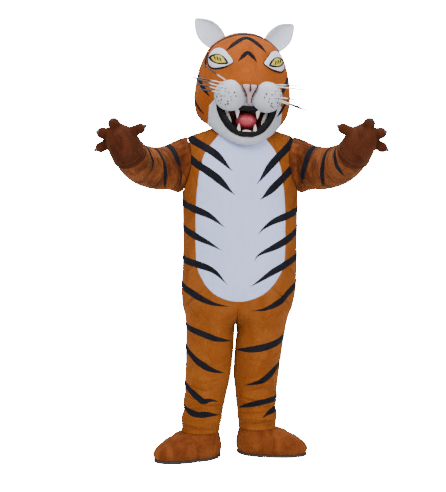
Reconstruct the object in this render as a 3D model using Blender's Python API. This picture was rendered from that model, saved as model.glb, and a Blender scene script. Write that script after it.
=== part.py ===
"""Tiger costume for an adult wearer: a plush jumpsuit with a white belly, a padded head, two paw gloves
and two slipper feet, filled out as worn.

Metres, +Z up, the face looks along -Y. The origin is at the wearer's shoulder line, where the suit is
carried. Suit and shoe heights are written from the floor, head heights from the origin. "left" is the
wearer's left, which is +X.
"""

import math
from collections import namedtuple

import bmesh
import bpy
from mathutils import Matrix, Vector

# Driving sizes
SHOULDER_HEIGHT = 1.400
CLOTH = 0.002
SEAM_GAP = 0.0003
SEAT_GAP = 0.0004
HEAD_WALL = 0.009
CROTCH_HEIGHT = 0.565
HEM_HEIGHT = 0.115
ARMHOLE_TOP = 1.372
ARMHOLE_BOTTOM = 1.120
ARMHOLE_ANGLE = math.radians(35)
ARMHOLE_STEPS = 10
BELLY_BOTTOM = 0.672
ZIP_BOTTOM = 0.800
ZIP_HALF_WIDTH = 0.0042
PANEL_COLUMNS = 6
BELLY_COLUMNS = 3
HEAD_TURN = math.radians(6.5)
HEAD_TILT = math.radians(2.5)

# Section tables, top to bottom
SuitRing = namedtuple("SuitRing", "height centre outer inner front back power slope")
SUIT_RINGS = [
    SuitRing(1.430, 0.000, 0.098, 0.110, 0.083, 0.088, 1.00, 0.05),
    SuitRing(1.405, 0.000, 0.102, 0.110, 0.087, 0.092, 1.00, 0.12),
    SuitRing(1.395, 0.000, 0.146, 0.110, 0.100, 0.106, 1.00, 0.15),
    SuitRing(1.385, 0.000, 0.194, 0.110, 0.112, 0.116, 0.97, 0.14),
    SuitRing(1.372, 0.000, 0.221, 0.110, 0.122, 0.126, 0.95, 0.12),
    SuitRing(1.330, 0.000, 0.232, 0.110, 0.142, 0.140, 0.90, 0.06),
    SuitRing(1.250, 0.000, 0.239, 0.110, 0.158, 0.150, 0.86, 0.01),
    SuitRing(1.120, 0.000, 0.242, 0.110, 0.170, 0.152, 0.84, 0.00),
    SuitRing(0.950, 0.000, 0.239, 0.110, 0.181, 0.152, 0.84, 0.00),
    SuitRing(0.800, 0.000, 0.240, 0.110, 0.186, 0.160, 0.84, 0.00),
    SuitRing(0.700, 0.000, 0.240, 0.110, 0.180, 0.166, 0.86, 0.00),
    SuitRing(0.672, 0.000, 0.237, 0.109, 0.174, 0.166, 0.87, 0.00),
    SuitRing(0.630, 0.030, 0.200, 0.107, 0.162, 0.160, 0.92, 0.00),
    SuitRing(0.600, 0.070, 0.150, 0.104, 0.150, 0.150, 0.96, 0.00),
    SuitRing(0.570, 0.099, 0.115, 0.100, 0.137, 0.140, 1.00, 0.00),
    SuitRing(0.540, 0.102, 0.108, 0.099, 0.128, 0.131, 1.00, 0.00),
    SuitRing(0.450, 0.105, 0.099, 0.1030, 0.110, 0.114, 1.00, 0.00),
    SuitRing(0.350, 0.107, 0.092, 0.1020, 0.098, 0.104, 1.00, 0.00),
    SuitRing(0.250, 0.109, 0.088, 0.0880, 0.092, 0.096, 1.00, 0.00),
    SuitRing(0.150, 0.117, 0.086, 0.081, 0.088, 0.090, 1.00, 0.00),
    SuitRing(0.115, 0.119, 0.085, 0.080, 0.087, 0.088, 1.00, 0.00),
]

# The white belly's half width by height, seen from the front
BellyEdge = namedtuple("BellyEdge", "height half_width")
BELLY_EDGE = [
    BellyEdge(1.430, 0.066),
    BellyEdge(1.362, 0.091),
    BellyEdge(1.286, 0.143),
    BellyEdge(1.205, 0.168),
    BellyEdge(1.098, 0.181),
    BellyEdge(0.950, 0.186),
    BellyEdge(0.860, 0.183),
]

# Cloth folds: where each lies, how far round it runs, how steeply it climbs, and its depth
Fold = namedtuple("Fold", "height angle reach climb width depth")
LEG_FOLDS = [
    Fold(0.500, -60, 70, 0.050, 0.022, -0.004),
    Fold(0.430, -80, 80, -0.035, 0.020, 0.005),
    Fold(0.385, -40, 60, 0.030, 0.018, -0.005),
    Fold(0.330, -110, 70, 0.025, 0.018, 0.005),
    Fold(0.285, -60, 90, -0.020, 0.017, -0.006),
    Fold(0.245, -90, 120, 0.015, 0.017, 0.006),
    Fold(0.205, -40, 110, -0.012, 0.016, -0.006),
    Fold(0.170, -100, 140, 0.012, 0.016, 0.006),
    Fold(0.130, -60, 130, -0.010, 0.015, -0.005),
    Fold(0.400, 100, 80, 0.030, 0.022, -0.006),
    Fold(0.350, 80, 80, -0.025, 0.020, 0.006),
]
TORSO_FOLDS = [
    Fold(1.060, -25, 26, 0.160, 0.030, -0.004),
    Fold(0.700, -35, 34, -0.120, 0.030, -0.004),
    Fold(0.620, -60, 34, 0.100, 0.026, 0.004),
    Fold(1.020, 60, 40, 0.100, 0.035, -0.005),
    Fold(0.860, 70, 45, 0.060, 0.030, 0.005),
]

# The arm's centre line on the wearer's left, heights from the floor, and its rings by distance along it
ARM_PATH = [
    (0.212, 0.000, 1.240),
    (0.290, -0.035, 1.220),
    (0.358, -0.112, 1.216),
    (0.404, -0.210, 1.232),
    (0.430, -0.292, 1.256),
    (0.446, -0.334, 1.283),
    (0.4625, -0.350, 1.317),
    (0.478, -0.356, 1.352),
    (0.490, -0.360, 1.386),
]
ArmRing = namedtuple("ArmRing", "distance across thick")
SLEEVE_RINGS = [
    ArmRing(0.000, 0.092, 0.110),
    ArmRing(0.070, 0.088, 0.094),
    ArmRing(0.170, 0.084, 0.087),
    ArmRing(0.280, 0.079, 0.080),
    ArmRing(0.370, 0.070, 0.070),
    ArmRing(0.450, 0.063, 0.063),
]
SLEEVE_STEPS = 10
SLEEVE_LENGTH = 0.440
GATHER_REACH = 0.130
GATHER_DEPTH = 0.0045
GATHER_WAVES = 6
CUFF_OVERLAP = 0.022
GLOVE_WALL = 0.003
GLOVE_RINGS = [
    ArmRing(0.458, 0.0655, 0.0675),
    ArmRing(0.478, 0.0610, 0.0690),
    ArmRing(0.500, 0.0540, 0.0680),
    ArmRing(0.524, 0.0450, 0.0590),
    ArmRing(0.546, 0.0260, 0.0370),
]
HAND_SPACE_RINGS = [
    ArmRing(0.458, 0.0590, 0.0600),
    ArmRing(0.500, 0.0410, 0.0540),
    ArmRing(0.528, 0.0250, 0.0380),
]

# Digits: angle from the hand's line towards the head, root and tip distance from the palm's middle, curl
Digit = namedtuple("Digit", "name angle root reach curl radius")
PALM_DISTANCE = 0.498
DIGITS = [
    Digit("thumb", 88, 0.030, 0.086, 0.008, 0.0225),
    Digit("finger_1", 2, 0.028, 0.062, 0.018, 0.0260),
    Digit("finger_2", -48, 0.030, 0.072, 0.020, 0.0250),
    Digit("finger_3", -90, 0.030, 0.084, 0.016, 0.0225),
]
DIGIT_SIDES = 8
CLAW_LENGTH = 0.024
CLAW_RADIUS = 0.010

# The head's rings, heights from the origin; dip is how far the front of a ring hangs below its back
HeadRing = namedtuple("HeadRing", "height side front back dip power")
HEAD_RINGS = [
    HeadRing(0.381, 0.010, 0.010, 0.010, 0.000, 1.00),
    HeadRing(0.374, 0.052, 0.050, 0.055, 0.000, 1.00),
    HeadRing(0.352, 0.096, 0.092, 0.104, 0.000, 0.98),
    HeadRing(0.315, 0.141, 0.126, 0.146, 0.000, 0.97),
    HeadRing(0.265, 0.170, 0.154, 0.174, 0.000, 0.96),
    HeadRing(0.205, 0.188, 0.174, 0.188, 0.000, 0.96),
    HeadRing(0.145, 0.198, 0.186, 0.192, 0.000, 0.96),
    HeadRing(0.090, 0.200, 0.190, 0.188, 0.004, 0.96),
    HeadRing(0.045, 0.192, 0.194, 0.178, 0.020, 0.97),
    HeadRing(0.015, 0.174, 0.197, 0.162, 0.050, 0.98),
    HeadRing(-0.002, 0.152, 0.193, 0.144, 0.078, 1.00),
    HeadRing(-0.008, 0.134, 0.174, 0.132, 0.084, 1.00),
    HeadRing(-0.010, 0.124, 0.152, 0.124, 0.048, 1.00),
    HeadRing(-0.014, 0.119, 0.126, 0.120, 0.008, 1.00),
    HeadRing(-0.040, 0.117, 0.119, 0.118, 0.008, 1.00),
]
CHIN_RING = 11
HEAD_SIDES = 24
BRIDGE_RISE = 0.040
BRIDGE_HEIGHT = 0.140
BRIDGE_HALF_WIDTH = 0.052
BRIDGE_HALF_HEIGHT = 0.070

# The mouth's outline on the wearer's left, x and height, from the middle of the upper lip to the chin
MOUTH_OUTLINE = [
    (0.000, 0.052),
    (0.045, 0.055),
    (0.083, 0.072),
    (0.104, 0.074),
    (0.108, 0.053),
    (0.090, 0.010),
    (0.058, -0.030),
    (0.026, -0.049),
    (0.000, -0.051),
]
LIP_RADIUS = 0.0095
LINER_WALL = 0.003
LINER_SEAT = 0.0115
LinerRing = namedtuple("LinerRing", "depth scale")
LINER_RINGS = [
    LinerRing(0.0000, 1.20),
    LinerRing(0.0010, 0.99),
    LinerRing(0.0300, 0.88),
    LinerRing(0.0500, 0.66),
    LinerRing(0.0600, 0.32),
]
JAW_OUTLINE = [
    (-0.150, 0.062),
    (-0.122, 0.098),
    (0.122, 0.098),
    (0.150, 0.062),
    (0.150, -0.150),
    (-0.150, -0.150),
]
JAW_BACK = -0.060

PUFF_CENTRE = Vector((0.074, -0.194, 0.101))
PUFF_SIZE = Vector((0.064, 0.060, 0.062))
NOSE_CENTRE = Vector((0.000, -0.236, 0.122))
NOSE_SIZE = Vector((0.033, 0.024, 0.020))
EYE_CENTRE = Vector((0.110, -0.132, 0.243))
EYE_SIZE = Vector((0.053, 0.020, 0.042))
EYE_TURN = math.radians(35)
EYE_SLOPE = math.radians(-16)

EarRow = namedtuple("EarRow", "along half_width cup")
EAR_ROWS = [
    EarRow(0.000, 0.035, 0.016),
    EarRow(0.032, 0.047, 0.024),
    EarRow(0.066, 0.050, 0.026),
    EarRow(0.100, 0.043, 0.019),
    EarRow(0.132, 0.024, 0.009),
    EarRow(0.154, 0.005, 0.001),
]
EAR_ROOT = Vector((0.098, 0.010, 0.325))
EAR_LEAN = math.radians(47)
EAR_TURN = math.radians(12)
EAR_WALL = 0.007

# Whiskers: root height and side on the puff, and where each tip points
Whisker = namedtuple("Whisker", "root_height out back up")
WHISKERS = [
    Whisker(0.142, 0.120, 0.030, 0.070),
    Whisker(0.126, 0.155, 0.035, 0.024),
    Whisker(0.116, 0.160, 0.015, 0.006),
    Whisker(0.104, 0.125, 0.045, -0.006),
    Whisker(0.092, 0.150, 0.020, -0.030),
    Whisker(0.082, 0.135, 0.035, -0.046),
]
WHISKER_RADIUS = 0.0016

# Shoes: rings from the sole up, lengths from the ankle's middle along the foot
ShoeRing = namedtuple("ShoeRing", "height heel toe half_width")
SHOE_RINGS = [
    ShoeRing(0.0123, 0.086, 0.211, 0.082),
    ShoeRing(0.0320, 0.092, 0.219, 0.088),
    ShoeRing(0.0560, 0.092, 0.203, 0.088),
    ShoeRing(0.0790, 0.088, 0.167, 0.085),
    ShoeRing(0.1000, 0.083, 0.119, 0.081),
]
CollarRing = namedtuple("CollarRing", "height inset")
SHOE_COLLAR = [CollarRing(0.147, 0.0120), CollarRing(0.127, 0.0085), CollarRing(0.1138, 0.0054)]
SHOE_WALL = 0.0035
SHOE_SIDES = 20
BALL_SPREAD = 0.18
SOLE_THICKNESS = 0.012
SOLE_LIP = 0.004
Foot = namedtuple("Foot", "name side forward toe_out")
FEET = [Foot("left", 1, -0.045, math.radians(76)), Foot("right", -1, 0.030, math.radians(60))]

TAIL_PATH = [
    (0.000, 0.120, 0.770),
    (0.000, 0.190, 0.735),
    (0.000, 0.236, 0.640),
    (0.020, 0.250, 0.500),
    (0.050, 0.244, 0.360),
    (0.085, 0.262, 0.240),
    (0.100, 0.320, 0.175),
    (0.105, 0.385, 0.185),
    (0.105, 0.410, 0.225),
]
TAIL_RADIUS = 0.031
TAIL_SIDES = 10

SWAY = 0.046
SWAY_START = 0.900
STANCE_START = 0.560

ORANGE = (0.46, 0.17, 0.035)
WHITE = (0.72, 0.74, 0.80)
BLACK = (0.012, 0.012, 0.016)
PINK = (0.62, 0.36, 0.38)
RED = (0.55, 0.05, 0.06)
IVORY = (0.80, 0.76, 0.66)
STEEL = (0.55, 0.55, 0.56)


# Small maths

def smooth_step(t):
    t = min(1.0, max(0.0, t))
    return t * t * (3 - 2 * t)


def signed_power(value, power):
    return math.copysign(abs(value) ** power, value)


def table_row(table, key, at):
    """A row of the table at a value of its first column, on a smooth curve through the rows."""
    rows = sorted(table, key=lambda row: getattr(row, key))
    at = min(max(at, getattr(rows[0], key)), getattr(rows[-1], key))
    i = 1
    while i < len(rows) - 1 and getattr(rows[i], key) < at:
        i += 1
    around = [rows[max(i - 2, 0)], rows[i - 1], rows[i], rows[min(i + 1, len(rows) - 1)]]
    x0, x1, x2, x3 = (getattr(row, key) for row in around)
    step = x2 - x1
    t = (at - x1) / step
    values = []
    for y0, y1, y2, y3 in zip(*around):
        before = (y2 - y0) / (x2 - x0)
        after = (y3 - y1) / (x3 - x1)
        values.append(
            (2 * t**3 - 3 * t**2 + 1) * y1
            + (t**3 - 2 * t**2 + t) * step * before
            + (3 * t**2 - 2 * t**3) * y2
            + (t**3 - t**2) * step * after
        )
    return type(rows[0])(*values)


def curve_through(points, per_span):
    """Points on a smooth open curve through the given ones."""
    points = [Vector(p) for p in points]
    ends = [2 * points[0] - points[1], *points, 2 * points[-1] - points[-2]]
    found = []
    for i in range(len(points) - 1):
        a, b, c, d = ends[i : i + 4]
        for k in range(per_span):
            t = k / per_span
            found.append(
                0.5 * (2 * b + (c - a) * t + (2 * a - 5 * b + 4 * c - d) * t**2 + (3 * b - a - 3 * c + d) * t**3)
            )
    return [*found, points[-1]]


def frames_along(path, up):
    """(distance, point, along, up, across) at each point of a path, turning no more than it must."""
    frames = []
    distance = 0.0
    for i, point in enumerate(path):
        along = (path[min(i + 1, len(path) - 1)] - path[max(i - 1, 0)]).normalized()
        up = (up - along * up.dot(along)).normalized()
        if i:
            distance += (point - path[i - 1]).length
        frames.append((distance, point, along, up, along.cross(up)))
    return frames


def frame_at(frames, distance):
    """The frame at a distance along the path."""
    for before, after in zip(frames, frames[1:]):
        if distance <= after[0] or after is frames[-1]:
            t = (distance - before[0]) / (after[0] - before[0])
            return [a + (b - a) * t for a, b in zip(before[1:], after[1:])]


# Meshes

def material(name, colour, roughness=0.9, metallic=0.0):
    made = bpy.data.materials.get(name)
    if made is None:
        made = bpy.data.materials.new(name)
        made.use_nodes = True
        shader = made.node_tree.nodes["Principled BSDF"]
        shader.inputs["Base Color"].default_value = (*colour, 1)
        shader.inputs["Roughness"].default_value = roughness
        shader.inputs["Metallic"].default_value = metallic
    return made


def place(name, mesh_builder, finish, collection):
    """Turns a finished bmesh into a named object."""
    bmesh.ops.remove_doubles(mesh_builder, verts=mesh_builder.verts, dist=1e-6)
    bmesh.ops.recalc_face_normals(mesh_builder, faces=mesh_builder.faces)
    if mesh_builder.calc_volume(signed=True) < 0:
        bmesh.ops.reverse_faces(mesh_builder, faces=mesh_builder.faces)
    mesh = bpy.data.meshes.new(name)
    mesh_builder.to_mesh(mesh)
    mesh_builder.free()
    mesh.shade_smooth()
    made = bpy.data.objects.new(name, mesh)
    if finish:
        mesh.materials.append(finish)
    else:
        made.hide_render = True
        made.display_type = "WIRE"
    collection.objects.link(made)
    return made


def add_grid(builder, rows, wrap):
    """Lays a grid of points as triangles, every cell split along the same diagonal."""
    grid = [[builder.verts.new(p) for p in row] for row in rows]
    width = len(grid[0])
    for upper, lower in zip(grid, grid[1:]):
        for j in range(width if wrap else width - 1):
            k = (j + 1) % width
            builder.faces.new((upper[j], lower[j], lower[k]))
            builder.faces.new((upper[j], lower[k], upper[k]))
    return grid


def add_edge(builder, outer, inner, closed):
    """Closes the edge between the two faces of a wall."""
    count = len(outer)
    for j in range(count if closed else count - 1):
        k = (j + 1) % count
        builder.faces.new((outer[j], outer[k], inner[k]))
        builder.faces.new((outer[j], inner[k], inner[j]))


def wall(name, outer, inner, finish, collection, wrap=False):
    """A sheet of cloth between an outer and an inner grid of points."""
    builder = bmesh.new()
    out = add_grid(builder, outer, wrap)
    back = add_grid(builder, inner, wrap)
    if wrap:
        add_edge(builder, out[0], back[0], True)
        add_edge(builder, out[-1], back[-1], True)
    else:
        def rim(grid):
            left = [row[0] for row in grid[-2:0:-1]]
            return [*grid[0], *[row[-1] for row in grid[1:-1]], *grid[-1][::-1], *left]

        add_edge(builder, rim(out), rim(back), True)
    return place(name, builder, finish, collection)


def add_cap(builder, ring):
    """Closes a ring with a fan about its middle."""
    middle = builder.verts.new(sum((v.co for v in ring), Vector()) / len(ring))
    for j in range(len(ring)):
        builder.faces.new((ring[j], ring[(j + 1) % len(ring)], middle))


def loft(name, rings, finish, collection):
    """A solid through a stack of rings, closed at both ends."""
    builder = bmesh.new()
    grid = add_grid(builder, rings, True)
    add_cap(builder, grid[0])
    add_cap(builder, grid[-1])
    return place(name, builder, finish, collection)


def bowl(name, outer, inner, finish, collection):
    """A hollow that is open at its first ring and closed past its last."""
    builder = bmesh.new()
    out = add_grid(builder, outer, True)
    back = add_grid(builder, inner, True)
    add_edge(builder, out[0], back[0], True)
    add_cap(builder, out[-1])
    add_cap(builder, back[-1])
    return place(name, builder, finish, collection)


def closed_tube(name, path, normals, radius, sides, finish, collection):
    """A round tube along a closed path; each normal points out of the path's own surface."""
    rings = []
    count = len(path)
    for i, point in enumerate(path):
        along = (path[(i + 1) % count] - path[i - 1]).normalized()
        out = (normals[i] - along * normals[i].dot(along)).normalized()
        across = along.cross(out)
        turns = [2 * math.pi * j / sides for j in range(sides)]
        rings.append([point + radius * (out * math.cos(t) + across * math.sin(t)) for t in turns])
    builder = bmesh.new()
    add_grid(builder, [*rings, rings[0]], True)
    return place(name, builder, finish, collection)


def ellipsoid(name, centre, size, finish, collection, rotation=None, sides=14):
    builder = bmesh.new()
    bmesh.ops.create_uvsphere(builder, u_segments=sides, v_segments=sides // 2, radius=1.0)
    turn = (rotation or Matrix.Identity(3)).to_4x4()
    builder.transform(Matrix.Translation(centre) @ turn @ Matrix.Diagonal((*size, 1)))
    return place(name, builder, finish, collection)


def boolean(target, tool, operation="DIFFERENCE"):
    made = target.modifiers.new(operation.lower() + "_" + tool.name, "BOOLEAN")
    made.object = tool
    made.operation = operation


def offset_rows(rows, normals, distance):
    return [[p + n * distance for p, n in zip(row, out)] for row, out in zip(rows, normals)]


def grid_normals(rows, wrap):
    """The outward normals of a grid whose columns turn anticlockwise seen from its first row."""
    normals = []
    for i, row in enumerate(rows):
        line = []
        for j in range(len(row)):
            right = row[(j + 1) % len(row)] if wrap else row[min(j + 1, len(row) - 1)]
            left = row[j - 1] if wrap else row[max(j - 1, 0)]
            down = rows[min(i + 1, len(rows) - 1)][j] - rows[max(i - 1, 0)][j]
            line.append(down.cross(right - left).normalized())
        normals.append(line)
    return normals


# The suit's surface

def fold_depth(folds, height, angle):
    """How far the folds lift the cloth at a height and an angle in degrees from the side seam."""
    total = 0.0
    for fold in folds:
        turn = (angle - fold.angle + 180) % 360 - 180
        along = turn / fold.reach
        across = (height - fold.height - fold.climb * along) / fold.width
        total += fold.depth * math.exp(-(across**2) - 2 * along**2)
    return total


def sway_at(height):
    """How far the stance carries the suit towards the wearer's right."""
    return SWAY * smooth_step((SWAY_START - height) / 0.85)


def suit_point(height, angle, side):
    """A point of the suit: angle 0 is the side seam, negative angles turn to the front."""
    ring = table_row(SUIT_RINGS, "height", height)
    cosine, sine = math.cos(angle), math.sin(angle)
    half = ring.outer if cosine > 0 else ring.inner
    depth = ring.front if sine < 0 else ring.back
    x = ring.centre + half * signed_power(cosine, ring.power)
    y = depth * signed_power(sine, ring.power)
    below = smooth_step((CROTCH_HEIGHT - height) / 0.08)
    above = smooth_step((height - CROTCH_HEIGHT) / 0.08) * smooth_step((1.20 - height) / 0.10)
    degrees = math.degrees(angle)
    lift = below * fold_depth(LEG_FOLDS, height, degrees * (1 if side > 0 else 0.9))
    lift += above * fold_depth(TORSO_FOLDS, height, degrees)
    lift *= smooth_step(x / 0.05)
    x += lift * cosine
    y += lift * sine
    stance = FEET[0].forward if side > 0 else FEET[1].forward
    y -= stance * smooth_step((STANCE_START - height) / 0.45)
    return Vector((side * x - sway_at(height), y, height - ring.slope * x - SHOULDER_HEIGHT))


def suit_normal(height, angle, side):
    step = 0.004
    turn = suit_point(height, angle + step, side) - suit_point(height, angle - step, side)
    rise = suit_point(height + step, angle, side) - suit_point(height - step, angle, side)
    return (turn.cross(rise) * side).normalized()


def closing_angle(height):
    """Where the half suit meets the middle plane: 90 degrees on the torso, 180 on a whole leg."""
    ring = table_row(SUIT_RINGS, "height", height)
    if height <= CROTCH_HEIGHT or ring.centre >= ring.inner:
        return math.pi
    return math.pi - math.acos((max(ring.centre, 0.0) / ring.inner) ** (1 / ring.power))


def zip_angle(height):
    """The angle of the back panel's edge beside the zip."""
    ring = table_row(SUIT_RINGS, "height", height)
    return math.acos((ZIP_HALF_WIDTH / ring.outer) ** (1 / ring.power))


def belly_half_width(height):
    turn = BELLY_EDGE[-1].height
    if height < turn:
        drop = min(1.0, (turn - height) / (turn - BELLY_BOTTOM))
        return BELLY_EDGE[-1].half_width * math.sqrt(1 - drop**2)
    return table_row(BELLY_EDGE, "height", height).half_width


def belly_angle(height):
    ring = table_row(SUIT_RINGS, "height", height)
    return math.acos((belly_half_width(height) / ring.outer) ** (1 / ring.power))


def armhole_rows():
    """(height, half angle) down the armhole, from its top to its bottom."""
    middle = (ARMHOLE_TOP + ARMHOLE_BOTTOM) / 2
    half = (ARMHOLE_TOP - ARMHOLE_BOTTOM) / 2
    turns = [math.pi * i / ARMHOLE_STEPS for i in range(ARMHOLE_STEPS + 1)]
    return [(middle + half * math.cos(t), ARMHOLE_ANGLE * math.sin(t)) for t in turns]


def suit_heights():
    """(height, armhole half angle) of every row, from the collar to the hem."""
    rows = [(1.430, 0.0), (1.405, 0.0), (1.395, 0.0), (1.385, 0.0)]
    rows += armhole_rows()
    rows += [(h, 0.0) for h in (1.040, 0.960, 0.880, 0.800, 0.760, 0.725)]
    rows += [(h, 0.0) for h in (0.700, 0.682, BELLY_BOTTOM, 0.640, 0.606, 0.583, CROTCH_HEIGHT)]
    leg_steps = 10
    span = 0.545 - HEM_HEIGHT
    rows += [(0.545 - span * i / leg_steps, 0.0) for i in range(leg_steps + 1)]
    return rows


def ease(rows, wrap=False):
    """Draws the edge points of a grid in by half the seam gap, at right angles to the edge."""
    eased = [list(row) for row in rows]
    last = len(rows) - 1
    for i, row in enumerate(rows):
        for j, point in enumerate(row):
            on_side = not wrap and j in (0, len(row) - 1)
            if i not in (0, last) and not on_side:
                continue
            inward = Vector()
            if on_side:
                near = row[1] if j == 0 else row[-2]
                edge = (rows[min(i + 1, last)][j] - rows[max(i - 1, 0)][j]).normalized()
                inward += perpendicular(near - point, edge)
            if i in (0, last):
                near = rows[1][j] if i == 0 else rows[-2][j]
                right = row[(j + 1) % len(row)] if wrap else row[min(j + 1, len(row) - 1)]
                left = row[j - 1] if wrap else row[max(j - 1, 0)]
                inward += perpendicular(near - point, (right - left).normalized())
            eased[i][j] = point + inward * SEAM_GAP / 2
    return eased


def perpendicular(vector, edge):
    across = vector - edge * vector.dot(edge)
    return across.normalized() if across.length > 1e-9 else vector.normalized()


# Arms

def arm_frames():
    path = [p - Vector((0, 0, SHOULDER_HEIGHT)) for p in curve_through(ARM_PATH, 10)]
    return frames_along(path, Vector((0, 0, 1)))


def arm_ring(frames, table, distance, grow=0.0):
    """A ring about the arm, from its underside round by the front. Its columns match the armhole's."""
    point, _, up, across = frame_at(frames, distance)
    size = table_row(table, "distance", distance)
    ring = []
    for k in range(2 * ARMHOLE_STEPS):
        turn = math.pi * k / ARMHOLE_STEPS
        wide = (size.across + grow) * math.sin(turn)
        high = -(size.thick + grow) * math.cos(turn)
        ring.append(point + across * wide + up * high)
    return ring


def armhole_loop(side):
    """Points and mitred normals round the armhole, on the wearer's left, from its lowest point by the front."""
    rows = armhole_rows()
    front = [(h, -a) for h, a in reversed(rows)]
    back = [(h, a) for h, a in rows[1:-1]]
    points, mitres = [], []
    for k, (height, angle) in enumerate(front + back):
        point = suit_point(height, angle, side)
        out = suit_normal(height, angle, side)
        turn = math.pi * k / ARMHOLE_STEPS
        radial = Vector((0, -math.sin(turn), -math.cos(turn)))
        points.append(point)
        mitres.append((out + radial) / (1 + max(out.dot(radial), -0.3)))
    return points, mitres


def mirrored(rows):
    return [[Vector((-p.x, p.y, p.z)) for p in row] for row in rows]


def sleeve_rows():
    """Outer and inner grids of the left sleeve, from the armhole to the cuff."""
    frames = arm_frames()
    loop, mitres = armhole_loop(1)
    outer = [loop]
    start = frames[0][2]
    for i in range(1, SLEEVE_STEPS + 1):
        distance = SLEEVE_LENGTH * i / SLEEVE_STEPS
        ring = arm_ring(frames, SLEEVE_RINGS, distance)
        blend = smooth_step(distance / 0.12)
        gather = GATHER_DEPTH * smooth_step(1 - distance / GATHER_REACH)
        middle = sum(ring, Vector()) / len(ring)
        row = []
        for k, (hole, point) in enumerate(zip(loop, ring)):
            moved = (hole + start * distance).lerp(point, blend)
            wave = math.cos(2 * math.pi * GATHER_WAVES * k / len(ring))
            row.append(moved + (moved - middle).normalized() * gather * wave)
        outer.append(row)
    normals = grid_normals(outer, True)
    normals[0] = mitres
    inner = offset_rows(outer, normals, -CLOTH)
    return ease(outer, True), ease(inner, True)


def glove_rings(table, grow, start):
    """Rings of the hand: first along the sleeve's last span, grown, then the table's."""
    frames = arm_frames()
    span = SLEEVE_LENGTH / SLEEVE_STEPS
    above, below = (arm_ring(frames, SLEEVE_RINGS, SLEEVE_LENGTH - back, grow) for back in (span, 0.0))
    over_sleeve = []
    for distance in (start, SLEEVE_LENGTH + 0.002):
        along = 1 + (distance - SLEEVE_LENGTH) / span
        over_sleeve.append([a.lerp(b, along) for a, b in zip(above, below)])
    return over_sleeve + [arm_ring(frames, table, row.distance) for row in table]


def hand_frame():
    """The palm's middle, the hand's line, the way to the head across it, and the way the palm looks."""
    point, along, _, _ = frame_at(arm_frames(), PALM_DISTANCE)
    along = along.normalized()
    inward = perpendicular(Vector((-1, 0, 0.1)), along)
    return point, along, inward, along.cross(inward)


def digit_path(digit):
    """Centre line of one digit on the wearer's left hand, from inside the palm to its tip."""
    point, along, inward, facing = hand_frame()
    turn = math.radians(digit.angle)
    out = along * math.cos(turn) + inward * math.sin(turn)
    curl = facing * digit.curl
    root = point + out * digit.root
    knuckle = point + out * (digit.root + digit.reach) / 2 + curl * 0.25
    tip = point + out * digit.reach + curl
    return [root, knuckle, tip]


def digit_rings(path, radius):
    """A finger's rings, narrowing to a round tip."""
    frames = frames_along(path, Vector((0.3, 0.9, 0.3)))
    length = frames[-1][0]
    sizes = [(point, 1.0 - 0.12 * at / length, up, across) for at, point, _, up, across in frames]
    _, tip, along, up, across = frames[-1]
    for bend in (40, 68):
        lift = along * radius * 0.88 * math.sin(math.radians(bend))
        sizes.append((tip + lift, 0.88 * math.cos(math.radians(bend)), up, across))
    turns = [2 * math.pi * j / DIGIT_SIDES for j in range(DIGIT_SIDES)]
    return [
        [point + radius * size * (up * math.cos(t) + across * math.sin(t)) for t in turns]
        for point, size, up, across in sizes
    ]


def claw_rings(digit):
    """A hooked claw from inside the finger's tip."""
    path = digit_path(digit)
    along = (path[-1] - path[-2]).normalized()
    start = path[-1] + along * digit.radius * 0.30
    middle = start + along * CLAW_LENGTH * 0.55
    tip = start + along * CLAW_LENGTH + hand_frame()[3] * CLAW_LENGTH * 0.30
    frames = frames_along([start, middle, tip], Vector((0.3, 0.9, 0.3)))
    turns = [2 * math.pi * j / 6 for j in range(6)]
    rings = []
    for distance, point, _, up, side in frames:
        size = CLAW_RADIUS * (1 - (distance / frames[-1][0]) ** 1.4) + 0.0008
        rings.append([point + size * (up * math.cos(t) + side * math.sin(t)) for t in turns])
    return rings


# Head

def head_ring_point(ring, angle):
    """A point of the head in its own frame: angle -90 degrees is the front."""
    cosine, sine = math.cos(angle), math.sin(angle)
    depth = ring.front if sine < 0 else ring.back
    x = ring.side * signed_power(cosine, ring.power)
    y = depth * signed_power(sine, ring.power)
    z = ring.height - ring.dip * max(0.0, -sine) ** 1.5
    if sine < 0:
        across = (x / BRIDGE_HALF_WIDTH) ** 2
        up = ((z - BRIDGE_HEIGHT) / BRIDGE_HALF_HEIGHT) ** 2
        y -= BRIDGE_RISE * math.exp(-across - up)
    return Vector((x, y, z))


def face_depth(x, z):
    """The y of the head's front surface at x and z."""
    low, high = HEAD_RINGS[CHIN_RING].height, HEAD_RINGS[0].height
    for _ in range(40):
        middle = (low + high) / 2
        ring = table_row(HEAD_RINGS[: CHIN_RING + 1], "height", middle)
        cosine = min(1.0, (abs(x) / ring.side) ** (1 / ring.power))
        point = head_ring_point(ring, -math.acos(cosine))
        if point.z < z:
            low = middle
        else:
            high = middle
    return point.y


def head_rows():
    turns = [2 * math.pi * j / HEAD_SIDES for j in range(HEAD_SIDES)]
    return [[head_ring_point(ring, t) for t in turns] for ring in HEAD_RINGS]


def mouth_curve(grow=0.0):
    """The mouth's closed outline, clockwise from the middle of the upper lip, grown outwards."""
    left = curve_through([(x, 0.0, z) for x, z in MOUTH_OUTLINE], 2)
    whole = left + [Vector((-p.x, 0, p.z)) for p in reversed(left[1:-1])]
    edges = [(whole[(i + 1) % len(whole)] - whole[i - 1]).normalized() for i in range(len(whole))]
    return [p + Vector((-e.z, 0, e.x)) * grow for p, e in zip(whole, edges)]


def prism(name, outline, front, back, collection):
    """A cutter: an (x, z) outline carried from front to back."""
    rings = [[Vector((p[0], y, p[-1])) for p in outline] for y in (front, back)]
    return loft(name, rings, None, collection)


# Building

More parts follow.
